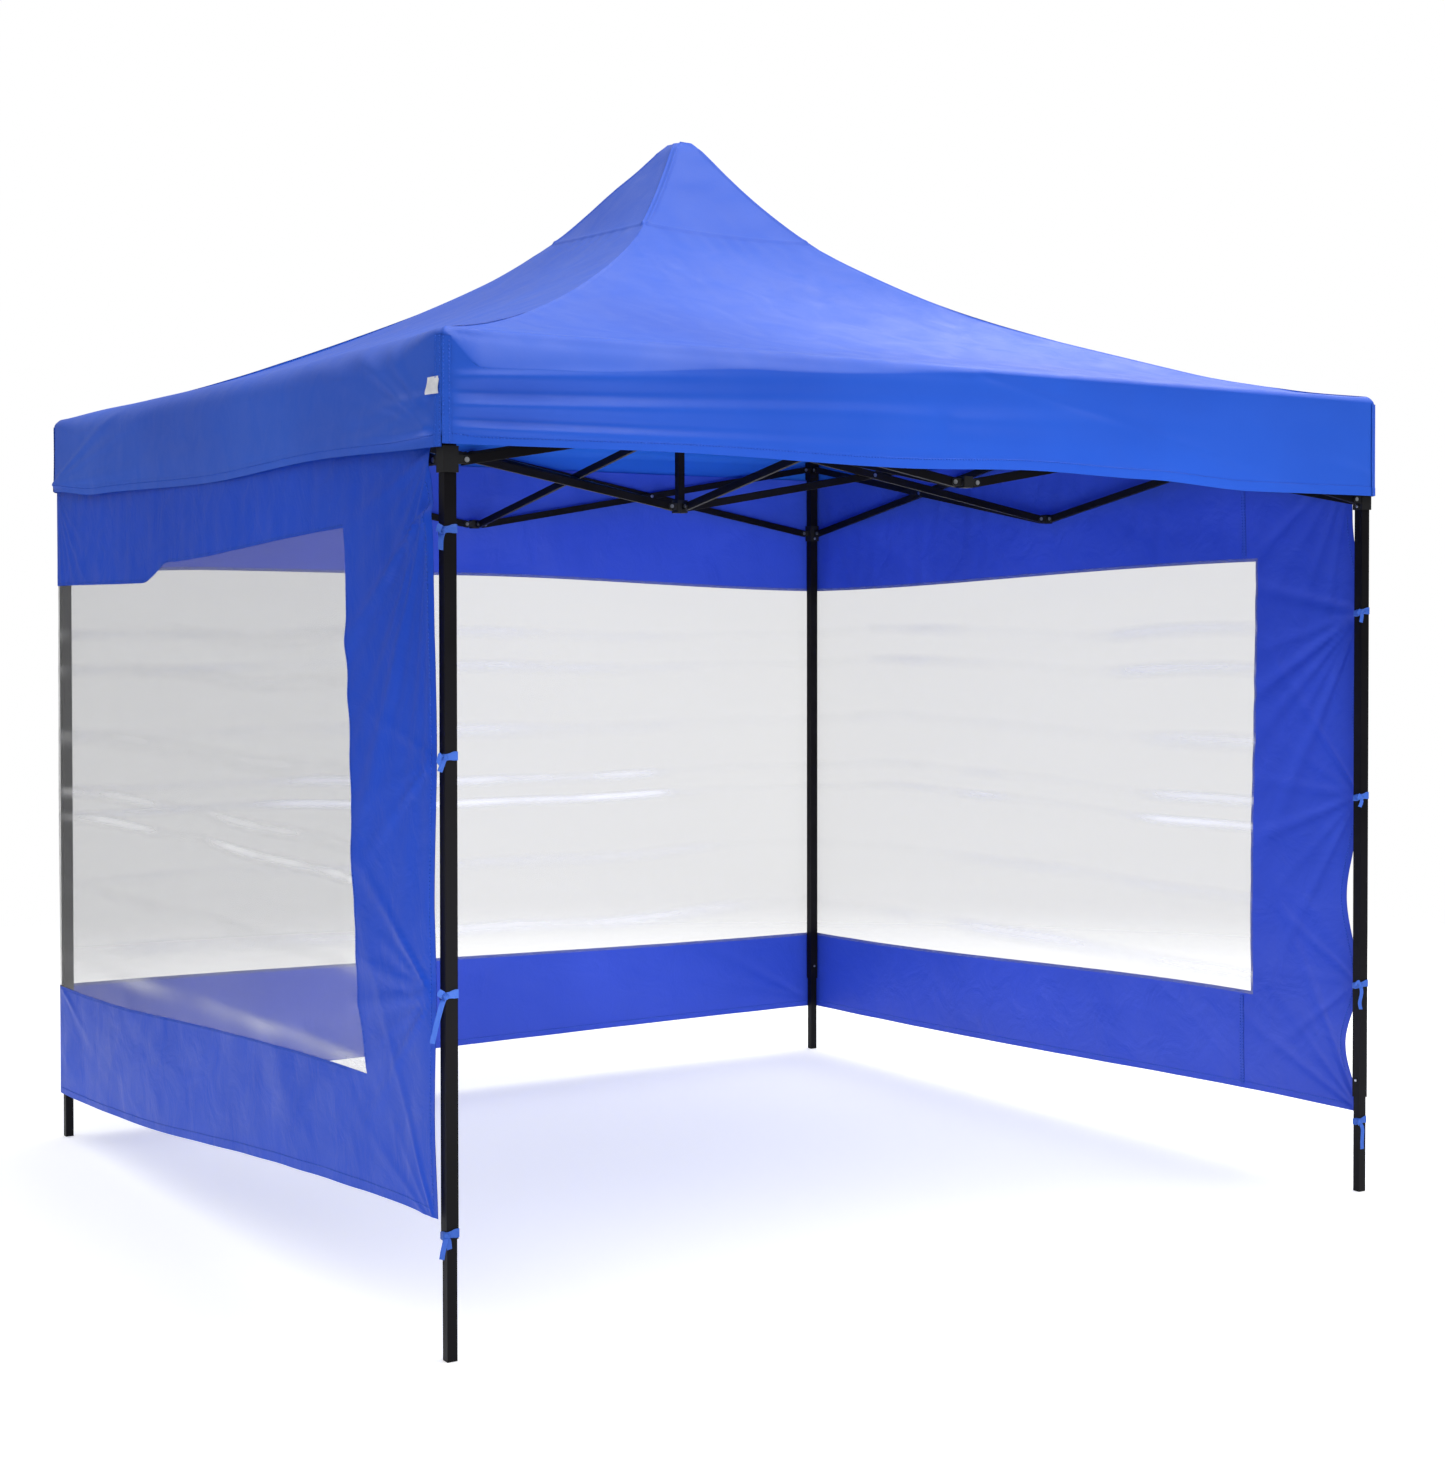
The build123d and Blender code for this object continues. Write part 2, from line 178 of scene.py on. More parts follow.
def sheetShell(points, thickness, keep=None, trim=True):
    # a closed thin shell: the grid moved half a thickness each way along its normals, and a rim along every free edge;
    # the outermost ring of the grid only steadies the normals and is trimmed off
    normal = gridNormals(points)
    if trim:
        points, normal = points[1:-1, 1:-1], normal[1:-1, 1:-1]
    rows, columns = points.shape[:2]
    index = np.arange(rows * columns).reshape(rows, columns)
    quads = np.stack([index[:-1, :-1], index[1:, :-1], index[1:, 1:], index[:-1, 1:]], axis=-1)
    if keep is not None:
        quads = quads[keep]
    quads = quads.reshape(-1, 4)
    total = rows * columns
    edges = np.concatenate([quads[:, [k, (k + 1) % 4]] for k in range(4)])
    key = edges[:, 0] * total + edges[:, 1]
    opposite = edges[:, 1] * total + edges[:, 0]
    free = edges[~np.isin(key, opposite)]
    rim = np.stack([free[:, 1], free[:, 0], free[:, 0] + total, free[:, 1] + total], axis=-1)
    faces = np.concatenate([quads, quads[:, ::-1] + total, rim])
    onInside = np.concatenate([np.zeros(len(quads)), np.ones(len(quads)), np.zeros(len(rim))])
    outer = (points + normal * thickness / 2).reshape(-1, 3)
    inner = (points - normal * thickness / 2).reshape(-1, 3)
    vertices = np.concatenate([outer, inner])
    vertexNormals = np.concatenate([normal.reshape(-1, 3), -normal.reshape(-1, 3)])
    used = np.unique(faces)
    place = np.full(2 * total, -1)
    place[used] = np.arange(len(used))
    return vertices[used], place[faces], vertexNormals[used], onInside


def sheetPiece(name, points, thickness, materials, keep=None, trim=True):
    # the second material, if there is one, is the inside's
    vertices, faces, normals, onInside = sheetShell(points, thickness, keep, trim)
    return newPiece(name, vertices, faces, materials, normals, onInside * (len(materials) - 1))


def joinShells(name, shells, materials):
    # several closed shells as one piece, each given as points, faces and normals first
    start = np.cumsum([0] + [len(shell[0]) for shell in shells])
    points = np.concatenate([shell[0] for shell in shells])
    faces = np.concatenate([shell[1] + offset for shell, offset in zip(shells, start)])
    normals = np.concatenate([shell[2] for shell in shells])
    return newPiece(name, points, faces, materials, normals)


def ringed(values, step):
    # one more value at each end, for the outermost ring that sheetShell trims off
    return np.concatenate([[values[0] - step], values, [values[-1] + step]])


# materials
def newMaterial(name):
    material = bpy.data.materials.new(name)
    material.use_nodes = True
    material.node_tree.nodes.clear()
    return material, material.node_tree, addNode(material.node_tree, "ShaderNodeTexCoord")


def fabricMaterial(name, look):
    # polyester oxford cloth, woven and coated on one face: an even strong blue with a soft silky shine,
    # fine crumples that catch the light, and a weave that only shows close up
    material, tree, place = newMaterial(name)
    broad = addNode(
        tree, "ShaderNodeTexNoise", {"Scale": 1.4, "Detail": 3.0, "Roughness": 0.5}, {"Vector": (place, "Object")}
    )
    crumple = addNode(
        tree, "ShaderNodeTexNoise",
        {"Scale": look["crumpleScale"], "Detail": 6.0, "Roughness": 0.55, "Distortion": 0.6},
        {"Vector": (place, "Object")},
    )
    # thread spacing is 0.5 mm on the real cloth, and 1.6 mm here, as coarse as it has to be to show at all
    warp, weft = (
        addNode(
            tree, "ShaderNodeTexWave",
            {"Scale": look["weaveScale"], "Distortion": 0.0, "bands_direction": direction, "wave_type": "BANDS"},
            {"Vector": (place, "Object")},
        )
        for direction in ("Z", "DIAGONAL")
    )
    weave = addNode(tree, "ShaderNodeMath", {"operation": "MULTIPLY"}, {0: (warp, "Fac"), 1: (weft, "Fac")})
    ramp = addNode(tree, "ShaderNodeValToRGB", None, {"Fac": (broad, "Fac")})
    ramp.color_ramp.elements[0].position, ramp.color_ramp.elements[1].position = 0.3, 0.72
    ramp.color_ramp.elements[0].color = toLinear(look["darkColour"])
    ramp.color_ramp.elements[1].color = toLinear(look["lightColour"])
    roughness = addNode(
        tree, "ShaderNodeMapRange",
        {"From Min": 0.3, "From Max": 0.7, "To Min": look["roughness"] - 0.06, "To Max": look["roughness"] + 0.08},
        {"Value": (crumple, "Fac")},
    )
    crumpleBump = addNode(
        tree, "ShaderNodeBump", {"Strength": look["crumpleStrength"], "Distance": look["crumpleDepth"]},
        {"Height": (crumple, "Fac")},
    )
    weaveBump = addNode(
        tree, "ShaderNodeBump", {"Strength": look["weaveStrength"], "Distance": 0.0003},
        {"Height": (weave, "Value"), "Normal": (crumpleBump, "Normal")},
    )
    surface = addNode(
        tree, "ShaderNodeBsdfPrincipled",
        {"Sheen Weight": look["sheen"], "Sheen Roughness": 0.4, "Sheen Tint": toLinear(look["sheenColour"]), "IOR": 1.5,
         "Specular IOR Level": look["gloss"]},
        {"Base Color": (ramp, "Color"), "Roughness": (roughness, "Result"), "Normal": (weaveBump, "Normal")},
    )
    through = addNode(tree, "ShaderNodeBsdfTranslucent", None, {"Color": (ramp, "Color")})
    cloth = addNode(tree, "ShaderNodeMixShader", {"Fac": look["glow"]}, {1: (surface, 0), 2: (through, 0)})
    addNode(tree, "ShaderNodeOutputMaterial", None, {"Surface": (cloth, "Shader")})
    return material


roofLook = {
    "darkColour": "#2256CC", "lightColour": "#2760DA",
    "crumpleScale": 9.0, "crumpleStrength": 0.22, "crumpleDepth": 0.005,
    "weaveScale": 200.0, "weaveStrength": 0.2, "roughness": 0.42, "gloss": 0.3, "sheen": 0.02, "sheenColour": "#AFC0FF",
    "glow": 0.06,  # how much of the light comes through the cloth
}
# the inside face: a lighter, greener copy of the cloth colour, partly the coated back's own colour and partly painted
# light that stands in for the sky's light coming through the roof
roofInsideLook = dict(
    roofLook, darkColour="#2366D2", lightColour="#286EDE", roughness=0.62, gloss=0.2, sheen=0.0, glow=0.3,
)
wallLook = dict(
    roofLook, darkColour="#1E55D8", lightColour="#245DE4", crumpleScale=8.0, crumpleStrength=0.6, crumpleDepth=0.01,
    roughness=0.4, gloss=0.24, glow=0.3,
)
# the inside face: a more violet copy of the cloth colour, partly the coated back's own colour and partly painted light
# that stands in for light shining through the wall into the shelter
wallInsideLook = dict(wallLook, darkColour="#3452C6", lightColour="#3C5AD2", sheen=0.0)

roofOutside = fabricMaterial("roofOxfordCloth", roofLook)
roofInside = fabricMaterial("roofCoatedBackPaintedLight", roofInsideLook)
wallOutside = fabricMaterial("wallOxfordCloth", wallLook)
wallInside = fabricMaterial("wallCoatedBackPaintedLight", wallInsideLook)


def plainMaterial(name, look):
    # one surface with a fine grain in its colour, roughness and bump
    material, tree, place = newMaterial(name)
    grain = addNode(
        tree, "ShaderNodeTexNoise", {"Scale": look["grainScale"], "Detail": 4.0, "Roughness": 0.6},
        {"Vector": (place, "Object")},
    )
    wear = addNode(
        tree, "ShaderNodeTexNoise", {"Scale": look["wearScale"], "Detail": 5.0}, {"Vector": (place, "Object")}
    )
    ramp = addNode(tree, "ShaderNodeValToRGB", None, {"Fac": (wear, "Fac")})
    ramp.color_ramp.elements[0].position, ramp.color_ramp.elements[1].position = 0.35, 0.75
    ramp.color_ramp.elements[0].color = toLinear(look["darkColour"])
    ramp.color_ramp.elements[1].color = toLinear(look["lightColour"])
    roughness = addNode(
        tree, "ShaderNodeMapRange",
        {"From Min": 0.3, "From Max": 0.7, "To Min": look["roughness"] - 0.05, "To Max": look["roughness"] + 0.08},
        {"Value": (wear, "Fac")},
    )
    bump = addNode(
        tree, "ShaderNodeBump", {"Strength": look["bump"], "Distance": look["depth"]}, {"Height": (grain, "Fac")}
    )
    surface = addNode(
        tree, "ShaderNodeBsdfPrincipled",
        {"Metallic": look["metallic"], "IOR": 1.5, "Specular IOR Level": look["gloss"]},
        {"Base Color": (ramp, "Color"), "Roughness": (roughness, "Result"), "Normal": (bump, "Normal")},
    )
    addNode(tree, "ShaderNodeOutputMaterial", None, {"Surface": (surface, "BSDF")})
    return material


# powder-coated steel: near black with a faint violet cast, slight orange peel and a satin shine
powderCoat = plainMaterial("powderCoatedSteel", {
    "darkColour": "#060509", "lightColour": "#0B090F", "grainScale": 450.0, "wearScale": 6.0,
    "roughness": 0.46, "bump": 0.12, "depth": 0.0004, "metallic": 0.0, "gloss": 0.12,
})
# injection-moulded nylon: dull black with a fine spark-eroded texture
mouldedNylon = plainMaterial("mouldedNylon", {
    "darkColour": "#08080B", "lightColour": "#0F0F13", "grainScale": 700.0, "wearScale": 12.0,
    "roughness": 0.55, "bump": 0.2, "depth": 0.0003, "metallic": 0.0, "gloss": 0.3,
})
# zinc-plated steel: bright grey buttons and bolt heads with fine scuffs
zincSteel = plainMaterial("zincPlatedSteel", {
    "darkColour": "#8F9298", "lightColour": "#C9CCD2", "grainScale": 300.0, "wearScale": 40.0,
    "roughness": 0.32, "bump": 0.1, "depth": 0.0002, "metallic": 1.0, "gloss": 0.5,
})
# woven polyester ribbon: paler than the wall, with a soft shine
ribbon = fabricMaterial(
    "polyesterRibbon", dict(wallLook, darkColour="#3C6AD0", lightColour="#4E7EE0", crumpleScale=60.0)
)
# sewing thread: bonded polyester, a shade lighter than the cloth
thread = plainMaterial("sewingThread", {
    "darkColour": "#2E60D8", "lightColour": "#3C70E8", "grainScale": 900.0, "wearScale": 80.0,
    "roughness": 0.5, "bump": 0.2, "depth": 0.0002, "metallic": 0.0, "gloss": 0.3,
})
# smooth printed polyester label, left blank
labelCloth = plainMaterial("wovenLabel", {
    "darkColour": "#DCDDE4", "lightColour": "#F2F2F5", "grainScale": 900.0, "wearScale": 60.0,
    "roughness": 0.6, "bump": 0.15, "depth": 0.0003, "metallic": 0.0, "gloss": 0.5,
})


def floorMaterial():
    # matte white studio floor that fades into the backdrop some metres out
    material, tree, place = newMaterial("studioFloor")
    reach = addNode(tree, "ShaderNodeVectorMath", {"operation": "LENGTH"}, {"Vector": (place, "Object")})
    near, far = studio["floorClear"]
    fade = addNode(
        tree, "ShaderNodeMapRange",
        {"From Min": near, "From Max": far, "To Min": 0.0, "To Max": 1.0, "interpolation_type": "SMOOTHSTEP"},
        {"Value": (reach, "Value")},
    )
    paint = addNode(
        tree, "ShaderNodeBsdfPrincipled",
        {"Base Color": toLinear("#F6F6F5"), "Roughness": 0.9, "Emission Color": toLinear("#FFFFFF"),
         "Emission Strength": 0.36},
    )
    clear = addNode(tree, "ShaderNodeBsdfTransparent")
    mix = addNode(tree, "ShaderNodeMixShader", None, {"Fac": (fade, "Result"), 1: (paint, 0), 2: (clear, 0)})
    addNode(tree, "ShaderNodeOutputMaterial", None, {"Surface": (mix, "Shader")})
    return material


floorPaint = floorMaterial()


def filmMaterial(look):
    # clear PVC film: greyish and see-through, with painted highlights: long white bands in its colour and opacity that
    # stand in for the light its glossy creases reflect
    material, tree, place = newMaterial("clearVinylFilm")
    # the painted highlights: soft white bands at a few heights, bent a little and broken up along their length
    parts = addNode(tree, "ShaderNodeSeparateXYZ", None, {"Vector": (place, "Object")})
    bend = addNode(tree, "ShaderNodeTexNoise", {"Scale": 0.7, "Detail": 1.0}, {"Vector": (place, "Object")})
    moved = addNode(
        tree, "ShaderNodeMath", {"operation": "MULTIPLY_ADD", 1: look["bend"]}, {0: (bend, "Fac"), 2: (parts, "Z")}
    )
    low, high = look["paintedHighlightRange"]
    level = addNode(tree, "ShaderNodeMapRange", {"From Min": low, "From Max": high}, {"Value": (moved, "Value")})
    paintedHighlightBands = addNode(tree, "ShaderNodeValToRGB", None, {"Fac": (level, "Result")})
    stops = paintedHighlightBands.color_ramp.elements
    stops[0].position, stops[1].position = 0.0, 1.0
    stops[0].color = stops[1].color = (0, 0, 0, 1)
    paintedHighlightBands.color_ramp.interpolation = "EASE"
    for height, half, bright in look["paintedHighlightBands"]:
        middle = (height - low) / (high - low)
        for offset, value in ((-half, 0.0), (0, bright), (half * 0.6, 0.0)):
            stops.new(middle + offset / (high - low)).color = (value, value, value, 1)
    broken = addNode(tree, "ShaderNodeTexNoise", {"Scale": 1.1, "Detail": 2.0}, {"Vector": (place, "Object")})
    gaps = addNode(
        tree, "ShaderNodeMapRange",
        {"From Min": 0.4, "From Max": 0.62, "To Min": 0.1, "To Max": 1.0, "interpolation_type": "SMOOTHSTEP"},
        {"Value": (broken, "Fac")},
    )
    # where the painted highlights lie: the white bands, faded out in the gaps
    paintedHighlightMask = addNode(tree, "ShaderNodeMath", {"operation": "MULTIPLY"}, {0: (paintedHighlightBands, "Color"), 1: (gaps, "Result")})
    ramp = addNode(tree, "ShaderNodeValToRGB", None, {"Fac": (paintedHighlightMask, "Value")})
    ramp.color_ramp.elements[0].color = toLinear(look["filmColour"])
    ramp.color_ramp.elements[1].color = toLinear(look["paintedHighlightColour"])
    opacity = addNode(
        tree, "ShaderNodeMapRange",
        {"From Min": 0.0, "From Max": 1.0, "To Min": look["clearAlpha"], "To Max": look["paintedHighlightAlpha"]},
        {"Value": (paintedHighlightMask, "Value")},
    )
    surface = addNode(
        tree, "ShaderNodeBsdfPrincipled",
        {"Roughness": look["roughness"], "IOR": 1.52, "Specular IOR Level": look["gloss"]},
        {"Base Color": (ramp, "Color"), "Alpha": (opacity, "Result")},
    )
    addNode(tree, "ShaderNodeOutputMaterial", None, {"Surface": (surface, "BSDF")})
    return material


# the film's own grey, and the white and opacity of its painted highlights
vinylFilm = filmMaterial({
    "filmColour": "#A4A4A4", "paintedHighlightColour": "#FFFFFF", "clearAlpha": 0.18, "paintedHighlightAlpha": 0.5,
    "roughness": 0.2, "gloss": 0.3,
    "bend": 0.12, "paintedHighlightRange": (0.4, 2.1),  # metres
    "paintedHighlightBands": (  # height, half thickness and brightness of each painted highlight
        (0.66, 0.05, 0.6), (0.9, 0.04, 0.35), (1.12, 0.03, 1.0), (1.2, 0.035, 0.8), (1.38, 0.05, 0.55),
        (1.6, 0.04, 0.6), (1.72, 0.04, 0.5),
    ),
})
print("materials ready")


# floor
floorShape = {"rings": 24, "around": 96, "innermost": 0.0005, "height": -0.001}


def makeFloor():
    # rings of points round the middle, out to where the floor has faded
    rings, around = floorShape["rings"], floorShape["around"]
    radius = np.linspace(floorShape["innermost"], studio["floorClear"][1], rings)[:, None]
    angle = np.linspace(0, 2 * np.pi, around + 1)[None, :-1]
    points = np.stack(
        np.broadcast_arrays(radius * np.cos(angle), radius * np.sin(angle), floorShape["height"]), axis=-1
    )
    index = np.arange(rings * around).reshape(rings, around)
    onward = np.roll(index, -1, axis=1)
    quads = np.stack([index[:-1], index[1:], onward[1:], onward[:-1]], axis=-1).reshape(-1, 4)
    floor = newPiece("studio_floor", points.reshape(-1, 3), quads, [floorPaint])


makeFloor()

# roof and valance
roof = {
    "halfSize": 1.5,
    "eaveHeight": 2.345,
    "rise": 0.876,
    "crownSoftness": 0.03,  # flattens the very top, as a share of the half size
    "crownLift": 0.046, "crownReach": 0.06,
    "curve": (0.66, 1.35, 0.34, 0.14),  # shares of the rise and how fast each falls: a power, and a decay near the peak
    "goresPerSide": 20,
    "columns": 10,
    "thickness": 0.0015,
    "patchShare": 0.195,  # where the reinforcing patch at the peak is sewn down
    "sag": {"front": 0.02, "right": 0.022, "back": 0.022, "left": 0.004},
    "seed": {"front": 3, "right": 5, "back": 7, "left": 11},
    "ridgeDoubled": 0.005, "ridgeSingle": 0.003,  # how proud the hips' seams stand on the patch and below it
    "seamHeight": 0.0018, "patchHeight": 0.0022, "puckerHeight": 0.0016, "broadWaves": 0.006, "creaseHeight": 0.0022,
    "roofRows": 78, "turnRows": 16,
    "rowsEnd": 0.985,  # the share at which the rows would end with no turn, before they are drawn in to its start
    "slope": 1.75,  # metres from peak to eave, along the cloth
}


def softLine(x, knots):
    # a line through the knots that starts and stops level at each one
    places = np.array([k[0] for k in knots], float)
    values = np.array([k[1] for k in knots], float)
    part = np.clip(np.searchsorted(places, x) - 1, 0, len(places) - 2)
    t = smoothStep((x - places[part]) / (places[part + 1] - places[part]))
    return values[part] * (1 - t) + values[part + 1] * t


def ripple(a, b, waves, seed):
    # the mean of sine waves with seeded directions and phases, -1 to 1
    rng = np.random.default_rng(seed)
    total = np.zeros(np.broadcast(a, b).shape)
    for low, high in waves:
        ka, kb = rng.uniform(low, high) * rng.choice((-1, 1)), rng.uniform(low, high) * rng.choice((-1, 1))
        total = total + np.sin(ka * a + kb * b + rng.uniform(0, 6.28))
    return total / len(waves)


def crumples(a, b, pace, seed, count=5):
    # sharp crests: each is one less the size of a bent sine wave, squared, in a seeded direction, 0 to 1
    rng = np.random.default_rng(seed)
    total = np.zeros(np.broadcast(a, b).shape)
    for n in range(count):
        turn, speed = rng.uniform(0, np.pi), pace * rng.uniform(0.6, 1.6)
        bend = ripple(a, b, [(pace * 0.2, pace * 0.6)] * 3, seed * 31 + n)
        wave = np.sin(speed * (a * math.cos(turn) + b * math.sin(turn)) + 2.6 * bend + rng.uniform(0, 6.28))
        total = total + (1 - np.abs(wave)) ** 2
    patchy = 0.5 + 0.5 * ripple(a, b, [(2, 4)] * 3, seed * 17)
    return total / count * patchy


def pulledFolds(along, up, folds):
    # creases drawn from points: each is a rounded ridge along a ray, that widens and fades with distance
    total = np.zeros(np.broadcast(along, up).shape)
    for startAlong, startUp, angle, height, width, spread, reach in folds:
        c, s = math.cos(math.radians(angle)), math.sin(math.radians(angle))
        far = (along - startAlong) * c + (up - startUp) * s
        off = (up - startUp) * c - (along - startAlong) * s
        wide = width + spread * np.maximum(far, 0)
        total += height * np.exp(-((off / wide) ** 2)) * smoothStep(far / 0.05) * np.exp(-np.maximum(far, 0) / reach)
    return total


def fan(startAlong, startUp, angles, height, width, spread, reach):
    # several creases from one point, with heights and reaches that vary in threes
    return [
        (startAlong, startUp, angle, height * (1.0, 0.55, 0.8)[n % 3], width, spread, reach * (1.0, 0.7, 0.85)[n % 3])
        for n, angle in enumerate(angles)
    ]


def turned(side, along, out, up):
    # side coordinates to world: along the side, out from the middle, up
    angle = math.radians(90 * sides.index(side))
    c, s = math.cos(angle), math.sin(angle)
    return np.stack(np.broadcast_arrays(c * along + s * out, s * along - c * out, up), axis=-1)


def roundedSquare(across, half, power):
    # the outline |x|^power + |y|^power = half^power, seen from the middle at the angle whose tangent is across
    angle = np.arctan(across)
    reach = half / (np.abs(np.cos(angle)) ** power + np.abs(np.sin(angle)) ** power) ** (1 / power)
    return reach * np.sin(angle), reach * np.cos(angle)


def roofHeight(share):
    # a power of what is left of the slope, and a decay near the peak
    slow, power, quick, decay = roof["curve"]
    fall = slow * np.maximum(1 - share, 0) ** power + quick * np.exp(-share / decay)
    return roof["eaveHeight"] + roof["rise"] * fall


def crownHeight(share):
    # the even curve with its tip blunted by the hub below it
    blunt = (share**3 + roof["crownSoftness"] ** 3) ** (1 / 3)
    return roofHeight(blunt) + roof["crownLift"] * np.exp(-((blunt / roof["crownReach"]) ** 2))


def outlineShape(share):
    # the power of the rounded square: softest at the peak, nearly square at the eave
    return 7 + 150 * (1 - np.exp(-share / 0.3)) ** 2


hipLift = {
    # how far each hip stands above the even curve, by share from peak to eave
    "back_left": ((0.02, 0.0), (0.11, 0.043), (0.2, 0.026), (0.3, 0.018), (0.9, 0.017), (1.0, 0.004)),
    "front_right": (
        (0.01, 0.005), (0.09, 0.022), (0.24, -0.001), (0.5, -0.010), (0.75, -0.011), (0.88, 0.0), (1.0, 0.004)
    ),
    "back_right": ((0.02, 0.0), (0.1, 0.022), (0.25, 0.004), (1.0, 0.0)),
    "front_left": ((0.02, 0.0), (0.1, 0.022), (0.25, 0.004), (1.0, 0.0)),
}

roofGathers = {
    "front": fan(-0.36, -0.42, (-160, -120, -95, -60, -20, 20), 0.004, 0.008, 0.05, 0.12),
    "right": [], "back": [],
    "left": fan(0.42, -0.46, (-150, -100, -60, 10, 60), 0.004, 0.008, 0.05, 0.12),
}


def roofPoints(side, across, share):
    # across runs from -1 to 1 between the hips, share from 0 at the peak to 1 at the eave:
    # a rounded-square outline scaled by the share, lifted by the concave height curve, with the hips' seams,
    # the sewn patch, sagging between the hips and small gathers added to the height
    along, out = roundedSquare(across, roof["halfSize"] * share, outlineShape(share))
    height = crownHeight(share)
    height = height - roof["sag"][side] * (1 - across**2) * np.sin(np.pi * np.clip(share, 0, 1)) ** 1.2
    farCorner = corners[sides.index(side)]
    nearCorner = corners[sides.index(side) - 1]
    blend = (across + 1) / 2
    height = height + (1 - blend) * softLine(share, hipLift[nearCorner]) + blend * softLine(share, hipLift[farCorner])
    fromHip = (1 - np.abs(across)) * roof["halfSize"] * share  # metres along the side, from the hip
    onPatch = 1 - smoothStep((share - roof["patchShare"]) / 0.004)
    doubled = roof["ridgeDoubled"] * np.exp(-(((fromHip - 0.012) / 0.006) ** 2)) * smoothStep(share / 0.05)
    single = roof["ridgeSingle"] * np.exp(-((fromHip / 0.007) ** 2))
    seam = roof["seamHeight"] * np.exp(-(((share - roof["patchShare"]) / 0.003) ** 2))
    puckers = roof["puckerHeight"] * np.sin(along / 0.013 + 3 * np.sin(along * 9))
    puckers = puckers * np.exp(-np.abs(share - roof["patchShare"] - 0.02) / 0.02) * (1 - onPatch)
    height = height + doubled * onPatch + single * (1 - onPatch) + onPatch * roof["patchHeight"] + seam + puckers
    seed = roof["seed"][side]
    broad = roof["broadWaves"] * ripple(along, out * 2, [(1.5, 3.5)] * 4, seed)
    creases = roof["creaseHeight"] * crumples(along, out, 9.0, seed + 1)
    loose = smoothStep((share - 0.2) / 0.2) * smoothStep((1 - share) / 0.06)
    height = height + (broad + creases + pulledFolds(along, -out, roofGathers[side])) * loose
    return along, out, height


eave = {
    # side: how far in from the edge the cloth starts to turn down, how far down the turn ends, how crisp it ends
    "front": {
        "in": ((-1, 0.016), (-0.93, 0.06), (-0.75, 0.055), (0.1, 0.022), (0.9, 0.02), (1, 0.016)),
        "down": ((-1, 0.016), (-0.93, 0.088), (-0.8, 0.083), (-0.4, 0.047), (0.1, 0.014), (1, 0.014)),
        "crisp": 0.012,
    },
    "right": {
        "in": ((-1, 0.016), (-0.8, 0.03), (0.8, 0.03), (1, 0.016)),
        "down": ((-1, 0.016), (-0.8, 0.03), (0.8, 0.03), (1, 0.016)),
        "crisp": 0.02,
    },
    "back": {
        "in": ((-1, 0.016), (-0.8, 0.035), (0.8, 0.05), (1, 0.016)),
        "down": ((-1, 0.016), (-0.8, 0.03), (0.8, 0.06), (1, 0.016)),
        "crisp": 0.02,
    },
    "left": {
        "in": ((-1, 0.016), (-0.8, 0.06), (0.8, 0.07), (1, 0.016)),
        "down": ((-1, 0.016), (-0.8, 0.06), (0.8, 0.075), (1, 0.016)),
        "crisp": 0.05,
    },
}

valanceFolds = {
    "front": fan(-1.49, 2.335, (-0.6,), -0.007, 0.008, 0.006, 1.0)
    + fan(-1.5, 2.232, (3.0,), 0.011, 0.012, 0.012, 1.0)
    + fan(-1.5, 2.2, (2.2,), -0.010, 0.010, 0.010, 0.9)
    + fan(-1.5, 2.168, (1.8,), 0.011, 0.010, 0.010, 0.9)
    + fan(-1.5, 2.14, (0.6,), -0.009, 0.008, 0.008, 0.8)
    + fan(-1.5, 2.118, (0.2,), 0.008, 0.007, 0.008, 0.7)
    + fan(-0.1, 2.2, (1.5, 178.0), 0.006, 0.02, 0.02, 0.9)
    + fan(0.0, 2.335, (-11.8,), -0.0035, 0.012, 0.004, 2.2)
    + fan(1.49, 2.12, (172, 166), 0.003, 0.012, 0.02, 0.5),
    "right": fan(-1.49, 2.13, (4, 10), 0.005, 0.012, 0.02, 0.6)
    + fan(1.49, 2.13, (176, 168), 0.005, 0.012, 0.02, 0.6),
    "back": fan(-1.49, 2.15, (3, 9, 15), 0.005, 0.012, 0.02, 0.6)
    + fan(1.49, 2.12, (175, 168), 0.006, 0.012, 0.02, 0.7),
    "left": fan(-1.49, 2.135, (1, 5, 10, 17), 0.009, 0.009, 0.02, 0.8)
    + fan(1.49, 2.11, (179, 172, 164, 155, 143), 0.012, 0.009, 0.03, 0.7)
    + fan(1.49, 2.2, (184, 193), 0.007, 0.009, 0.03, 0.5),
}
valance = {
    "rows": 46, "columns": 280, "thickness": 0.0015, "hemBand": 0.028, "hemStep": 0.0012,
    "seed": {"front": 21, "right": 22, "back": 23, "left": 24}, "swell": 0.006, "fine": 0.0012,
    "flat": (3.0, 0.27), "swellTop": 2.33, "swellFade": 0.2, "clearance": 0.003,
    "hem": {
        "front": ((-1.5, 2.083), (-0.9, 2.088), (-0.23, 2.076), (0.2, 2.086), (0.6, 2.077), (1.0, 2.058), (1.5, 2.06)),
        "right": ((-1.5, 2.06), (-0.4, 2.085), (0.6, 2.072), (1.5, 2.085)),
        "back": ((-1.5, 2.085), (-0.5, 2.075), (0.6, 2.09), (1.5, 2.115)),
        "left": ((-1.5, 2.117), (-1.0, 2.088), (0.0, 2.072), (0.78, 2.087), (1.5, 2.076)),
    },
}


def sideSwell(side, along, up):
    # how far the valance stands out or in: long slow waves, the folds pulled from the corners and fine creases
    seed = valance["seed"][side]
    below = smoothStep((valance["swellTop"] - up) / valance["swellFade"])
    swell = valance["swell"] * ripple(along, up * 3, [(2, 5)] * 3, seed + 1) * below + valance["clearance"]
    fine = valance["fine"] * crumples(along, up, 11.0, seed + 2)
    held = 1 - np.clip(np.abs(along) / roof["halfSize"], 0, 1) ** 24
    return (swell + fine + pulledFolds(along, up, valanceFolds[side])) * held


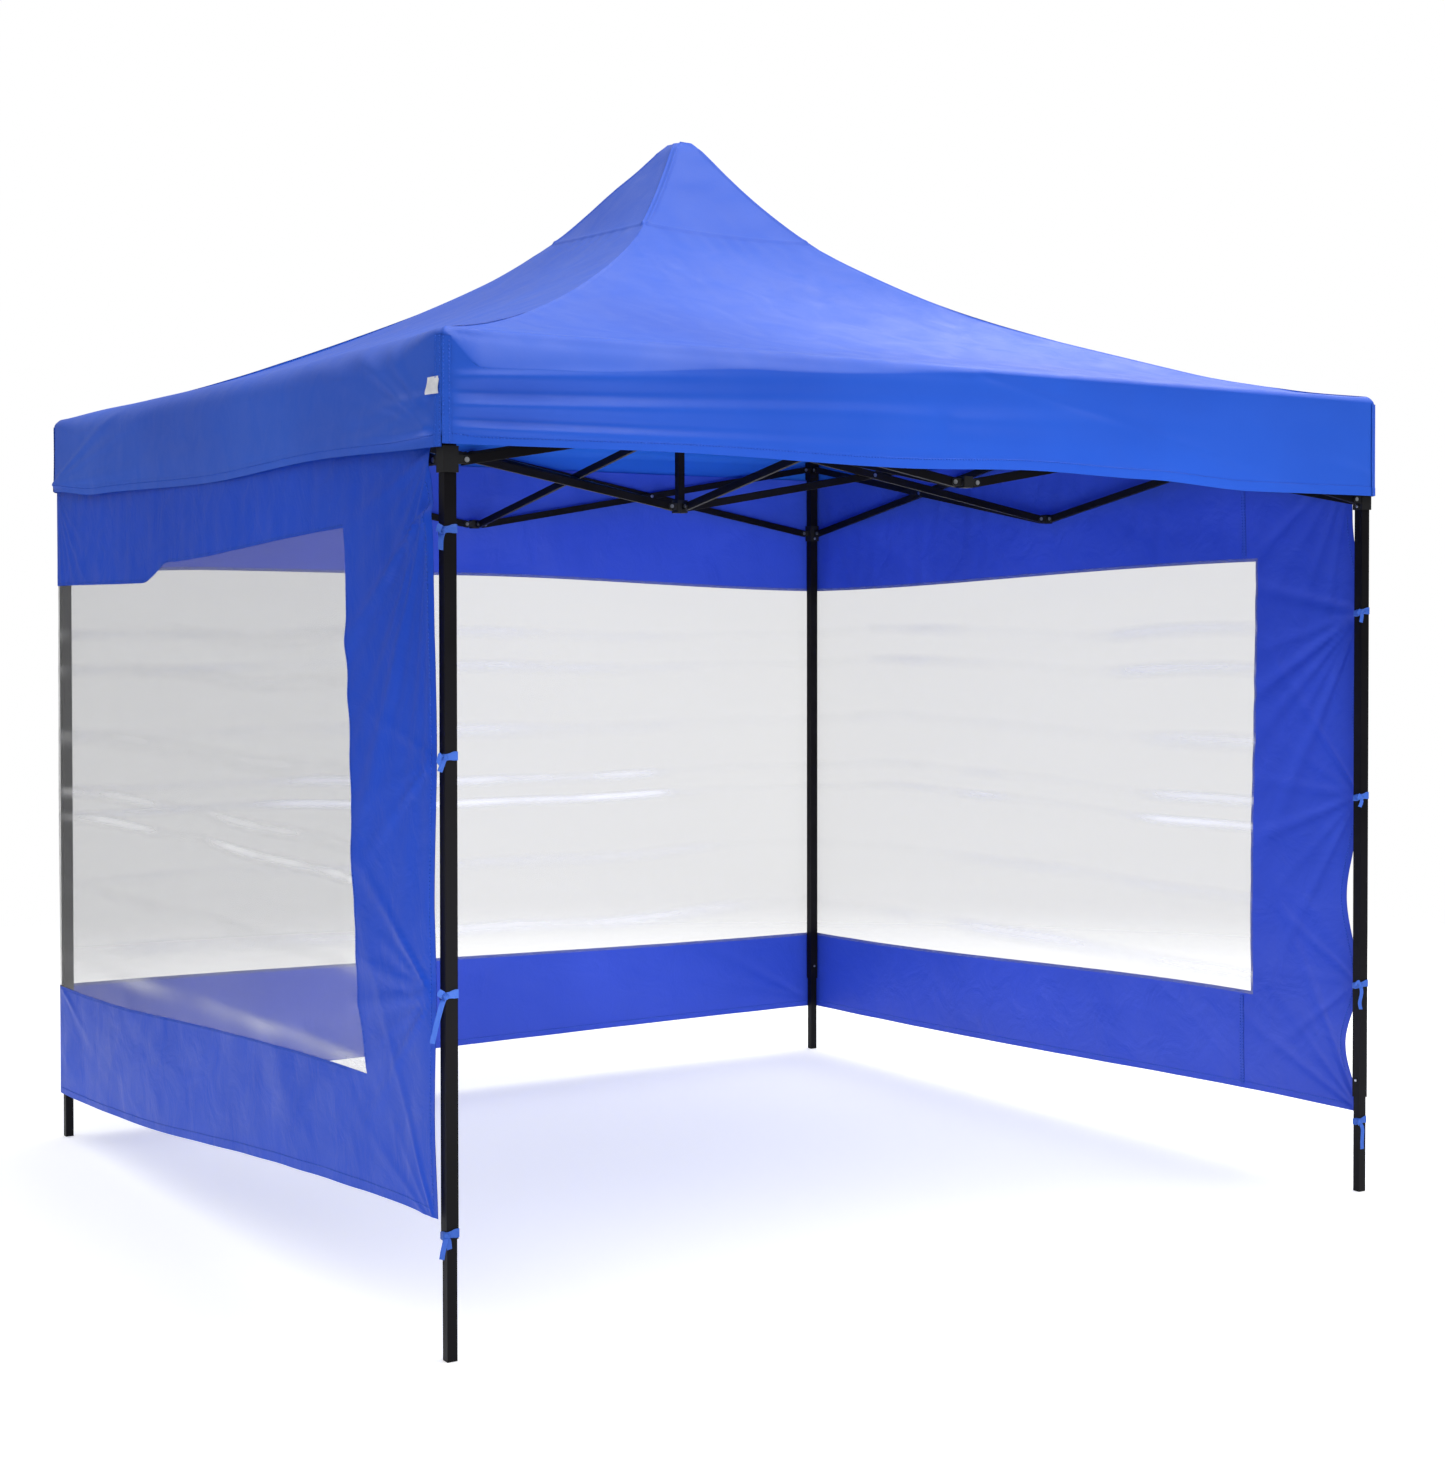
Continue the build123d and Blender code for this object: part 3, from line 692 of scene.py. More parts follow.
def eaveTurn(side, across, t):
    # from the roof at t = 0 down to the valance at t = 1: a cubic curve that leaves along the roof's slope
    # and arrives hanging straight down
    inward = softLine(across, eave[side]["in"])
    down = softLine(across, eave[side]["down"])
    share = 1 - inward / roof["halfSize"]
    along0, out0, up0 = roofPoints(side, across, share)
    along1, out1, up1 = roofPoints(side, across, share - 0.004)
    edgeAlong, edgeOut = roundedSquare(across, roof["halfSize"], outlineShape(1.0))
    bottom = roof["eaveHeight"] - down
    run = np.maximum(np.hypot(along0 - along1, out0 - out1), 1e-9)
    reach = 0.45 * inward
    crisp = np.minimum(eave[side]["crisp"], 0.6 * down)
    handle0 = (
        along0 + (along0 - along1) / run * reach, out0 + (out0 - out1) / run * reach, up0 + (up0 - up1) / run * reach
    )
    b0, b1, b2, b3 = (1 - t) ** 3, 3 * (1 - t) ** 2 * t, 3 * (1 - t) * t**2, t**3
    along = b0 * along0 + b1 * handle0[0] + (b2 + b3) * edgeAlong
    out = b0 * out0 + b1 * handle0[1] + (b2 + b3) * edgeOut
    up = b0 * up0 + b1 * handle0[2] + b2 * (bottom + crisp) + b3 * bottom
    out = out + sideSwell(side, along, up) * smoothStep(t * 1.4)
    return along, out, up


def gorePoints(side, across, place):
    # place runs from 0 at the peak to 1 where the turn at the eave starts, and on to 2 where the valance begins
    inward = softLine(across, eave[side]["in"])
    start = 1 - inward / roof["halfSize"]
    onRoof = np.clip(place, 0, 1)
    share = onRoof * roof["rowsEnd"] + (start - roof["rowsEnd"]) * smoothStep((onRoof - 0.6) / 0.4)
    top = roofPoints(side, across, share)
    turn = eaveTurn(side, across, np.clip(place - 1, 0, 1))
    onTurn = np.broadcast_to(place, np.broadcast(across, place).shape) > 1
    return turned(side, *[np.where(onTurn, b, a) for a, b in zip(top, turn)])


patchPlace = roof["patchShare"] / roof["rowsEnd"]
goreRows = np.unique(np.concatenate([
    np.linspace(7e-4, 1, roof["roofRows"]) ** 0.9, patchPlace + np.linspace(-0.012, 0.012, 11),
    1 + np.linspace(0, 1, roof["turnRows"]),
]))
for side in sides:
    edges = np.linspace(-1, 1, roof["goresPerSide"] + 1)
    for k in range(roof["goresPerSide"]):
        low, high = edges[k], edges[k + 1]
        t = np.linspace(0, 1, roof["columns"] + 1)
        # columns stand closer together towards a hip
        if k == 0:
            t = t**2
        if k == roof["goresPerSide"] - 1:
            t = 1 - (1 - t) ** 2
        across = ringed(low + (high - low) * t, 1e-4)
        rows = np.concatenate([[2e-4], goreRows, [2.0]])
        grid = gorePoints(side, across[None, :], rows[:, None])
        grid[-1] = grid[-2] - np.array([0, 0, 0.004])  # the ring below the turn hangs straight down
        piece = sheetPiece(f"roof_{side}_{k + 1}", grid, roof["thickness"], [roofOutside, roofInside])
        middle = (low + high) / 2
        eavePoint = gorePoints(side, np.array([[middle]]), np.array([[1.0]]))[0, 0]
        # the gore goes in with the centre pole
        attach(piece, "centre_pole")
        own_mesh(piece)
        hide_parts("canopy_top")
print("roof gores:", len(sides) * roof["goresPerSide"])


def valancePoints(side, across, down):
    # down runs from 0 at the eave's turn to 1 at the hem: the rounded-square outline carried down,
    # moved out and in by its folds, with the doubled cloth of the hem a little proud
    along, out = roundedSquare(across, roof["halfSize"], outlineShape(1.0))
    top = roof["eaveHeight"] - softLine(across, eave[side]["down"])
    hem = softLine(along, valance["hem"][side])
    up = top + (hem - top) * down
    band = valance["hemStep"] * smoothStep((hem + valance["hemBand"] - up) / 0.002)
    return turned(side, along, out + sideSwell(side, along, up) + band, up)


def foldWithSide(piece, side, node):
    # the piece goes in with its side's upper bracket
    tangent = turned(side, np.array([1.0]), np.array([0.0]), np.array([0.0]))[0]
    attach(piece, f"middle_bracket_upper_{side}")
    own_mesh(piece)
    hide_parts(node)


for side in sides:
    t = np.linspace(-1, 1, valance["columns"] + 1)
    across = ringed(t * (1 + 0.25 * (1 - t**2)), 1e-4)
    # more rows where the hem's band steps out
    down = np.concatenate([np.linspace(0, 1, valance["rows"] + 1), 1 - np.array([0.095, 0.1, 0.105, 0.11, 0.115])])
    down = ringed(np.unique(down), 0.01)
    grid = valancePoints(side, across[None, :], down[:, None])
    piece = sheetPiece(f"valance_{side}", grid, valance["thickness"], [roofOutside, roofInside])
    foldWithSide(piece, side, "canopy_top")
print("valances ready")

# side wall and window
wallSides = ("right", "back", "left")
wall = {
    "plane": 1.4935, "top": 2.26, "cornerPower": 200.0, "thickness": 0.001, "film": 0.0005,
    "rows": {"lower": 44, "window": 100, "upper": 50}, "columns": {"window": 200, "panel": 90},
    "panel": (0.66, 0.97),  # about where the panel beside the window starts and ends, as shares of the plane
    "height": 2.09, "openingHeight": 1.36, "filmHeight": 1.38, "filmWidth": {"right": 2.46, "back": 2.96, "left": 2.46},
    "filmCells": (90, 180), "lap": 0.01, "filmBehind": 0.0011,
    "seed": {"right": 41, "back": 42, "left": 43},
    "pleats": 0.005, "pleatReach": 0.3, "belly": 0.008, "smallWaves": 0.0018, "creases": 0.009, "filmWaves": 0.0011,
}
wallShape = {
    # heights and places in metres along each side, from its start
    "left": {
        "hem": ((-1.5, 0.145), (1.5, 0.325)),
        "windowTop": ((-1.5, 1.81), (-0.6, 1.805), (-0.35, 1.862), (1.1, 1.915)),
        "windowBottom": ((-1.5, 0.498), (1.1, 0.595)), "windowEnd": ((0.45, 1.08), (0.837, 1.0), (1.912, 0.93)),
        "freeEdge": (
            (0.2, 1.458), (0.29, 1.462), (0.56, 1.452), (0.835, 1.462), (1.1, 1.452), (1.375, 1.462), (1.889, 1.455),
            (2.06, 1.425), (2.3, 1.44),
        ),
    },
    "back": {
        "hem": ((-1.5, 0.168), (1.5, 0.145)),
        "windowTop": ((-1.5, 1.822), (0.07, 1.865), (1.0, 1.87), (1.3, 1.862), (1.5, 1.81)),
        "windowBottom": ((-1.5, 0.46), (1.5, 0.498)),
    },
    "right": {
        "hem": ((-1.5, 0.227), (1.5, 0.168)), "windowTop": ((-1.1, 1.88), (1.5, 1.822)),
        "windowBottom": ((-1.1, 0.533), (1.5, 0.46)), "windowEnd": ((0.5, -0.985), (1.9, -0.995)),
        "freeEdge": (
            (0.15, -1.44), (0.21, -1.448), (0.42, -1.392), (0.615, -1.446), (0.87, -1.398), (1.172, -1.45),
            (1.45, -1.43), (1.718, -1.45), (2.0, -1.408), (2.3, -1.40),
        ),
    },
}
wallFolds = {
    "left": fan(1.45, 1.95, (212, 222, 232, 241, 250, 260, 268), 0.017, 0.007, 0.05, 0.75)
    + fan(1.44, 2.07, (198, 214, 230, 246), 0.012, 0.008, 0.05, 0.4)
    + fan(1.455, 1.375, (166, 182, 197, 213), 0.006, 0.005, 0.04, 0.3)
    + fan(1.455, 0.835, (148, 162, 176, 190, 205, 222), 0.008, 0.005, 0.04, 0.4)
    + fan(1.455, 0.30, (122, 140, 158), 0.006, 0.006, 0.04, 0.4)
    + fan(-1.47, 2.1, (-80, -68, -55, -42, -28), 0.009, 0.006, 0.04, 0.4)
    + fan(-1.47, 0.5, (-24, 12), 0.005, 0.008, 0.04, 0.3),
    "right": fan(-1.44, 1.72, (-62, -52, -42, -30, -16, 10), 0.010, 0.006, 0.04, 0.5)
    + fan(-1.42, 2.2, (-36, -50, -64, -76), 0.009, 0.006, 0.04, 0.35)
    + fan(-1.44, 1.17, (48, 25, 4, -20, -42, -58), 0.008, 0.006, 0.04, 0.4)
    + fan(-1.44, 0.615, (30, 0, -35), 0.006, 0.006, 0.04, 0.3)
    + fan(-1.44, 0.23, (62, 42, 24), 0.007, 0.006, 0.04, 0.45)
    + fan(1.46, 2.2, (206, 222, 240), 0.006, 0.008, 0.04, 0.4),
    "back": fan(-1.46, 2.2, (-28, -45, -62), 0.006, 0.008, 0.04, 0.4)
    + fan(1.46, 2.2, (206, 222, 240), 0.006, 0.008, 0.04, 0.4)
    + fan(-1.46, 0.2, (28, 14), 0.004, 0.01, 0.04, 0.5)
    + fan(1.46, 0.2, (150, 166), 0.004, 0.01, 0.04, 0.5),
}


def wallBelly(side, along, up):
    # the slow waves that a wall and its film share
    return wall["belly"] * ripple(along, up, [(1.5, 3), (2, 4), (3, 6)], wall["seed"][side] + 1)


def wallPlace(side, across, up):
    # a rounded-square outline carried upwards, moved out and in by pleats under the roof, creases and the ties' folds
    along, out = roundedSquare(across, wall["plane"], wall["cornerPower"])
    seed = wall["seed"][side]
    held = 1 - np.clip(np.abs(across), 0, 1) ** 30
    pleats = wall["pleats"] * ripple(along, up * 0.06, [(18, 26), (30, 44), (55, 75)], seed)
    pleats = pleats * np.exp(-np.maximum(wall["top"] - up, 0) / wall["pleatReach"])
    small = wall["smallWaves"] * ripple(along, up * 0.6, [(14, 24)] * 4, seed + 2)
    small = small + wall["creases"] * crumples(along, up, 7.0, seed + 5)
    move = pleats + wallBelly(side, along, up) + small + pulledFolds(along, up, wallFolds[side])
    # under the valance the cloth has little room, and beside the truss it can't go far in
    room = softLine(up, ((1.95, 1.0), (2.1, 0.22)))
    move = np.where(move > 0, move * room, move)
    inwardMost = softLine(up, ((1.6, 0.02), (1.8, 0.004)))
    move = np.where(move < 0, -inwardMost * np.tanh(-move / inwardMost), move)
    return along, out + move * held


def wallPoints(side, across, up):
    along, out = wallPlace(side, across, up)
    return turned(side, along, out, up)


def sideEnds(side, up, edge):
    # where the window or the wall starts and stops at each height, as shares of the plane: the open end of a side
    # follows its edge's line, and every other end is a corner
    low, high = -np.ones_like(up), np.ones_like(up)
    if side == "left":
        high = softLine(up, wallShape[side][edge]) / wall["plane"]
    if side == "right":
        low = softLine(up, wallShape[side][edge]) / wall["plane"]
    return low, high


def wallGrid(side):
    # rows from the hem past the window's two edges to the top; columns across the window and, at the side's open end,
    # the free panel: each is spread evenly between the lines on either side of it
    shape, rows, columns = wallShape[side], wall["rows"], wall["columns"]
    windowPart = np.linspace(0, 1, columns["window"] + 1)
    panelPart = np.linspace(0, 1, columns["panel"] + 1)
    near, far = wall["panel"]
    if side == "left":
        nominal = np.concatenate([-1 + (1 + near) * windowPart, near + (far - near) * panelPart[1:]])
    elif side == "right":
        nominal = np.concatenate([-far + (far - near) * panelPart, -near + (1 + near) * windowPart[1:]])
    else:
        nominal = np.linspace(-1, 1, columns["window"] + 1)
    x = nominal * wall["plane"]
    hem, bottom, top = (softLine(x, shape[key]) for key in ("hem", "windowBottom", "windowTop"))
    a, b, c = (np.linspace(0, 1, rows[key] + 1)[:, None] for key in ("lower", "window", "upper"))
    up = np.concatenate([
        hem + (bottom - hem) * a, (bottom + (top - bottom) * b)[1:], (top + (wall["top"] - top) * c)[1:]
    ])
    windowLow, windowHigh = sideEnds(side, up, "windowEnd")
    low, high = sideEnds(side, up, "freeEdge")
    if side == "left":
        n, inWindow = columns["window"] + 1, slice(0, columns["window"])
        across = np.concatenate([
            windowLow[:, :n] + (windowHigh - windowLow)[:, :n] * windowPart,
            windowHigh[:, n:] + (high - windowHigh)[:, n:] * panelPart[1:],
        ], axis=1)
    elif side == "right":
        n, inWindow = columns["panel"] + 1, slice(columns["panel"], None)
        across = np.concatenate([
            low[:, :n] + (windowLow - low)[:, :n] * panelPart,
            windowLow[:, n:] + (windowHigh - windowLow)[:, n:] * windowPart[1:],
        ], axis=1)
    else:
        across, inWindow = np.broadcast_to(nominal, up.shape), slice(0, None)
    keep = np.ones((up.shape[0] - 1, up.shape[1] - 1), bool)
    keep[rows["lower"] : rows["lower"] + rows["window"], inWindow] = False
    return across, up, keep


def filmGrid(side, low, high):
    # the film is lapped behind the cloth all round, and inside the lap it hangs freely in slow waves;
    # low and high are the window's ends at the middle of its height
    lap = wall["lap"]
    rows, columns = wall["filmCells"]
    down = np.linspace(0, 1, rows + 1)[:, None]
    part = np.linspace(0, 1, columns + 1)[None, :]
    x = (low + (high - low) * part) * wall["plane"]
    bottom = softLine(x, wallShape[side]["windowBottom"]) - lap
    top = softLine(x, wallShape[side]["windowTop"]) + lap
    up = bottom + (top - bottom) * down
    start, end = sideEnds(side, up, "windowEnd")
    start, end = np.maximum(start - lap / wall["plane"], -1), np.minimum(end + lap / wall["plane"], 1)
    across = start + (end - start) * part
    along, out = wallPlace(side, across, up)
    border = np.minimum(
        np.minimum(part, 1 - part) * wall["filmWidth"][side], np.minimum(down, 1 - down) * wall["filmHeight"]
    )
    calm = smoothStep((border - lap) / 0.1) * (1 - np.abs(across) ** 14)
    slack = wall["plane"] + wallBelly(side, along, up)
    slack = slack + wall["filmWaves"] * ripple(
        along * 0.12, up, [(16, 22), (22, 30), (34, 44)], wall["seed"][side] + 30
    )
    return turned(side, along, out * (1 - calm) + slack * calm - wall["filmBehind"], up)


for side in wallSides:
    across, up, keep = wallGrid(side)
    grid = wallPoints(side, across, up)[::-1]
    piece = sheetPiece(f"wall_{side}", grid, wall["thickness"], [wallOutside, wallInside], keep=keep[::-1], trim=False)
    foldWithSide(piece, side, "side_wall")

    ends = [float(np.mean(end[60:100])) for end in sideEnds(side, up, "windowEnd")]
    film = sheetPiece(f"window_{side}", filmGrid(side, *ends)[::-1], wall["film"], [vinylFilm], trim=False)
    foldWithSide(film, side, "window_film")
print("walls and windows ready")

# seams, stitches and label
trims = {
    # stitches, about three times as coarse as real ones
    "pitch": 0.009, "length": 0.0062, "width": 0.0016, "height": 0.0008, "lift": 0.0012,
    "stripThickness": 0.0012,
    # strips: their width, how proud they stand, and the rows of stitches on them
    "corner": {"width": 0.022, "lift": 0.0016, "rows": (-0.0075, 0.0065), "inset": 0.0125, "height": 0.26},
    "wallSeam": {"width": 0.016, "lift": 0.0013, "rows": (-0.005, 0.005), "place": -0.945, "stitchLift": 1.9},
    "wallSeamHeights": {"lower": (0.235, 0.515), "upper": (1.895, 2.235)},
    # rows of stitches: how far from the hem, the window and the free edge
    "hemShare": 0.1, "aboveHem": 0.02, "besideWindow": 0.007, "besideEdge": 0.02,
    # where the rows along the hem and along the window start and stop on each side, as shares
    "hemRow": {"left": (-0.985, 0.955), "right": (-0.93, 0.985), "back": (-0.985, 0.985)},
    "windowRow": {"left": (-0.985, 0.62), "right": (-0.64, 0.985), "back": (-0.985, 0.985)},
}


def lineFrame(surface, u, v, lift):
    # a line drawn on a surface, with its direction, the sideways direction and the normal at every point:
    # the normal is the cross product of the surface's two directions
    step = 1e-3
    point = surface(u, v)
    normal = np.cross(surface(u + step, v) - surface(u - step, v), surface(u, v + step) - surface(u, v - step))
    normal /= np.linalg.norm(normal, axis=-1, keepdims=True)
    onward = np.gradient(point, axis=0)
    onward /= np.maximum(np.linalg.norm(onward, axis=-1, keepdims=True), 1e-9)
    return point + normal * lift, onward, np.cross(normal, onward), normal


def stripShell(surface, u, v, width, lift):
    # a flat strip along the line
    point, onward, sideways, normal = lineFrame(surface, u, v, lift)
    offsets = np.linspace(-0.5, 0.5, 5)[None, :, None] * width
    return sheetShell(point[:, None, :] + sideways[:, None, :] * offsets, trims["stripThickness"], trim=False)


def stitchShell(surface, u, v, lift):
    # little boxes at an even pitch along the line, each with slightly sunk ends
    point, onward, sideways, normal = lineFrame(surface, u, v, lift)
    far = np.concatenate([[0], np.cumsum(np.linalg.norm(np.diff(point, axis=0), axis=1))])
    places = np.arange(0.5 * trims["pitch"], far[-1], trims["pitch"])
    middle, onward, sideways, normal = (
        np.stack([np.interp(places, far, part[:, k]) for k in range(3)], axis=-1)[:, None, :]
        for part in (point, onward, sideways, normal)
    )
    corner = np.array([(a, b, c) for c in (-1, 1) for b in (-1, 1) for a in (-1, 1)], float)[None, :, :]
    half = np.array([trims["length"], trims["width"], trims["height"]]) / 2
    reach = corner[..., 0:1] * half[0] * np.where(corner[..., 2:3] > 0, 0.8, 1.0)
    offset = onward * reach + sideways * corner[..., 1:2] * half[1] + normal * corner[..., 2:3] * half[2]
    box = np.array([(0, 2, 3, 1), (4, 5, 7, 6), (0, 1, 5, 4), (2, 6, 7, 3), (0, 4, 6, 2), (1, 3, 7, 5)])
    faces = (box[None, :, :] + 8 * np.arange(len(places))[:, None, None]).reshape(-1, 4)
    outward = offset / np.linalg.norm(offset, axis=-1, keepdims=True)
    return (middle + offset).reshape(-1, 3), faces, outward.reshape(-1, 3)


for side in sides:
    def hanging(across, rise):
        # the valance by height share, so that its two directions give the outward normal
        return valancePoints(side, across, 1 - rise)

    seam = trims["corner"]
    long, tall = np.linspace(-0.985, 0.985, 400), np.linspace(0.004, 0.996, 60)
    rows = [stitchShell(hanging, long, np.full(len(long), trims["hemShare"]), trims["lift"])]
    for end, where in ((-1, "start"), (1, "end")):
        place = np.full(len(tall), end * (1 - seam["inset"] / roof["halfSize"]))
        strip = stripShell(hanging, place, tall, seam["width"], seam["lift"])
        piece = joinShells(f"corner_seam_{side}_{where}", [strip], [roofOutside])
        foldWithSide(piece, side, "canopy_top")
        for offset in seam["rows"]:
            rows.append(stitchShell(hanging, place + offset / roof["halfSize"], tall, seam["lift"] + trims["lift"]))
    piece = joinShells(f"valance_stitches_{side}", rows, [thread])
    foldWithSide(piece, side, "canopy_top")

for side in wallSides:
    def standing(across, up):
        return wallPoints(side, across, up)

    shape, seam, plane = wallShape[side], trims["wallSeam"], wall["plane"]
    hemLine = np.linspace(*trims["hemRow"][side], 400)
    windowLine = np.linspace(*trims["windowRow"][side], 400)
    rows = []
    for lift in (trims["lift"], -trims["lift"]):
        lines = (
            (hemLine, "hem", trims["aboveHem"]), (windowLine, "windowBottom", -trims["besideWindow"]),
            (windowLine, "windowTop", trims["besideWindow"]),
        )
        for line, edge, above in lines:
            rows.append(stitchShell(standing, line, softLine(line * plane, shape[edge]) + above, lift))
    if side != "back":
        toward = 1 if side == "left" else -1
        up, full = np.linspace(0.62, 1.76, 240), np.linspace(0.34, 2.0, 300)
        window = softLine(up, shape["windowEnd"]) / plane
        edge = softLine(full, shape["freeEdge"]) / plane
        for lift in (trims["lift"], -trims["lift"]):
            rows.append(stitchShell(standing, window + toward * trims["besideWindow"] / plane, up, lift))
            rows.append(stitchShell(standing, edge - toward * trims["besideEdge"] / plane, full, lift))
    if side == "right":
        for where, (start, stop) in trims["wallSeamHeights"].items():
            up = np.linspace(start, stop, 60)
            place = np.full(len(up), seam["place"] / plane)
            for face, lift in (("outside", seam["lift"]), ("inside", -seam["lift"])):
                strip = stripShell(standing, place, up, seam["width"], lift)
                piece = joinShells(f"wall_seam_right_{where}_{face}", [strip], [wallInside])
                foldWithSide(piece, side, "side_wall")
                for offset in seam["rows"]:
                    rows.append(stitchShell(standing, place + offset / plane, up, lift * seam["stitchLift"]))
    piece = joinShells(f"wall_stitches_{side}", rows, [thread])
    foldWithSide(piece, side, "side_wall")

# the blank care label sewn into the seam of the near corner, its free edge standing off a little
labelPlace = {
    "start": 1.4525, "end": 1.492, "low": 2.197, "high": 2.237, "thickness": 0.0006, "flat": (0.04, 0.04),
    "valanceTop": 2.331, "valanceHeight": 0.255, "cells": 24,
    "lift": 0.0035, "curl": 0.007, "wave": 0.0015,
}
across = np.linspace(labelPlace["start"], labelPlace["end"], labelPlace["cells"] + 1)[None, :] / roof["halfSize"]
up = np.linspace(labelPlace["low"], labelPlace["high"], labelPlace["cells"] + 1)[:, None]
base = valancePoints("left", across, (labelPlace["valanceTop"] - up) / labelPlace["valanceHeight"])
curl = labelPlace["curl"] * (1 - np.linspace(0, 1, labelPlace["cells"] + 1)[None, :, None]) ** 2
wave = labelPlace["wave"] * np.sin(np.linspace(0, 5, labelPlace["cells"] + 1))[:, None, None]
points = base + np.array([-1.0, 0, 0]) * (labelPlace["lift"] + curl + wave)
label = sheetPiece("care_label", points, labelPlace["thickness"], [labelCloth], trim=False)
foldWithSide(label, "left", "canopy_top")
print("seams, stitches and label ready")

# ribbon ties
ties = {
    "heights": {"front_left": (1.889, 1.375, 0.835, 0.29), "front_right": (1.718, 1.172, 0.615, 0.21)},
    "leg": {"front_left": (-1.47, -1.47), "front_right": (1.47, -1.47)},
    "width": 0.018, "thickness": 0.001, "tailWidth": 0.012, "knotSize": 0.0085,
    # half of a band's inside, round the outer leg and, below the outer leg's end, round the inner leg
    "halfOuter": 0.0165, "halfInner": 0.0142, "outerEnd": 0.28,
    "cornerPower": 10.0, "tilt": 0.004, "pinch": 0.15,
}


def tieLoop(corner, height):
    # a flat ribbon carried round the square leg, with rounded corners, tilted and a little narrower in three places
    half = ties["halfOuter"] if height > ties["outerEnd"] else ties["halfInner"]
    angle = np.linspace(0, 2 * np.pi, 65)[:-1]
    power = ties["cornerPower"]
    reach = half / (np.abs(np.cos(angle)) ** power + np.abs(np.sin(angle)) ** power) ** (1 / power)
    width = ties["width"] * (1 - ties["pinch"] * np.cos(3 * angle))[None, :]
    up = height + ties["tilt"] * np.cos(angle + 1.0)[None, :] + np.linspace(-0.5, 0.5, 5)[:, None] * width
    x, y = ties["leg"][corner]
    return np.stack(np.broadcast_arrays(x + reach * np.cos(angle), y + reach * np.sin(angle), up), axis=-1)


def wrapFaces(rows, columns):
    # the quads of a grid that closes round on itself along its columns
    index = np.arange(rows * columns).reshape(rows, columns)
    right = np.roll(index, -1, axis=1)
    return np.stack([index[:-1], right[:-1], right[1:], index[1:]], axis=-1).reshape(-1, 4)


def rideLeg(piece, corner):
    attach(piece, f"outer_leg_{corner}")
    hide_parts("wall_ties")


for corner, heights in ties["heights"].items():
    for number, height in enumerate(heights):
        inner = tieLoop(corner, height)
        centre = np.array([inner[..., 0].mean(), inner[..., 1].mean()])
        outer = inner.copy()
        outer[..., :2] = centre + (inner[..., :2] - centre) * (1 + ties["thickness"] / ties["halfOuter"])
        quads = wrapFaces(*inner.shape[:2])
        index = np.arange(inner.shape[0] * inner.shape[1]).reshape(inner.shape[:2])
        onward, total = np.roll(index, -1, axis=1), index.size
        top = np.stack([index[-1], onward[-1], onward[-1] + total, index[-1] + total], axis=-1)
        bottom = np.stack([onward[0], index[0], index[0] + total, onward[0] + total], axis=-1)
        faces = np.concatenate([quads, quads[:, ::-1] + total, top, bottom])
        points = np.concatenate([outer.reshape(-1, 3), inner.reshape(-1, 3)])
        rideLeg(newPiece(f"tie_{corner}_{number + 1}", points, faces, [ribbon]), corner)


def ribbonShell(path, wide, width):
    # a ribbon along a smooth curve through the path's points, its width lying along wide: the curve is a cubic through
    # neighbouring points, each coordinate a sum of the points weighted by Catmull-Rom shares
    path = np.asarray(path, float)
    place = np.linspace(0, 1, 25) * (len(path) - 1)
    padded = np.concatenate([[2 * path[0] - path[1]], path, [2 * path[-1] - path[-2]]])
    part = np.clip(place.astype(int), 0, len(path) - 2)
    f = (place - part)[:, None]
    a, b, c, d = (padded[part + k] for k in range(4))
    centre = 0.5 * (2 * b + (c - a) * f + (2 * a - 5 * b + 4 * c - d) * f**2 + (3 * b - a - 3 * c + d) * f**3)
    offsets = np.linspace(-0.5, 0.5, 5)[None, :, None] * width
    return sheetShell(
        centre[:, None, :] + wide / np.linalg.norm(wide) * offsets, ties["thickness"], trim=False
    )


tieEnds = {
    # each corner's knot on plan in metres and two directions on plan, along the wall and away from the leg; then each
    # tie's two tails, as points after the knot in millimetres: along the wall, away from the leg, up
    "front_left": {
        "knot": (-1.4885, -1.4885), "side": (-0.8, -0.35), "away": (-0.35, -0.8),
        "tails": {
            1: (((0, 0, 0), (12, 6, 12), (20, 8, -4), (6, 4, -6)), ((0, 2, 0), (10, 6, -20), (12, 4, -45))),
            2: (((0, 0, 0), (14, 6, 8), (26, 6, -12)), ((0, 2, 0), (8, 8, -14), (18, 6, -30))),
            3: (
                ((0, 0, 0), (14, 8, -18), (34, 6, -60), (50, 2, -100)),
                ((0, 2, 0), (10, 8, 16), (22, 6, 4), (6, 3, -6)),
            ),
            4: (((0, 0, 0), (4, 10, -12), (12, 10, -32), (16, 6, -48)), ((0, 2, 0), (-10, 10, -10), (-14, 8, -30))),
        },
    },
    "front_right": {
        "knot": (1.4515, -1.4885), "side": (-0.9, 0.1), "away": (-0.2, -0.9),
        "tails": {
            1: (((0, 0, 0), (12, 6, 4), (22, 6, -6)), ((0, 2, 0), (6, 8, -14), (8, 6, -30))),
            2: (((0, 0, 0), (10, 6, 6), (20, 6, -4)), ((0, 2, 0), (4, 8, -14), (10, 6, -28))),
            3: (((0, 0, 0), (14, 8, 12), (26, 6, 6)), ((0, 2, 0), (2, 10, -20), (8, 8, -50), (2, 6, -70))),
            4: (((0, 0, 0), (6, 8, 4), (12, 6, -4)), ((0, 2, 0), (-4, 10, -20), (-4, 8, -55), (-6, 6, -80))),
        },
    },
}


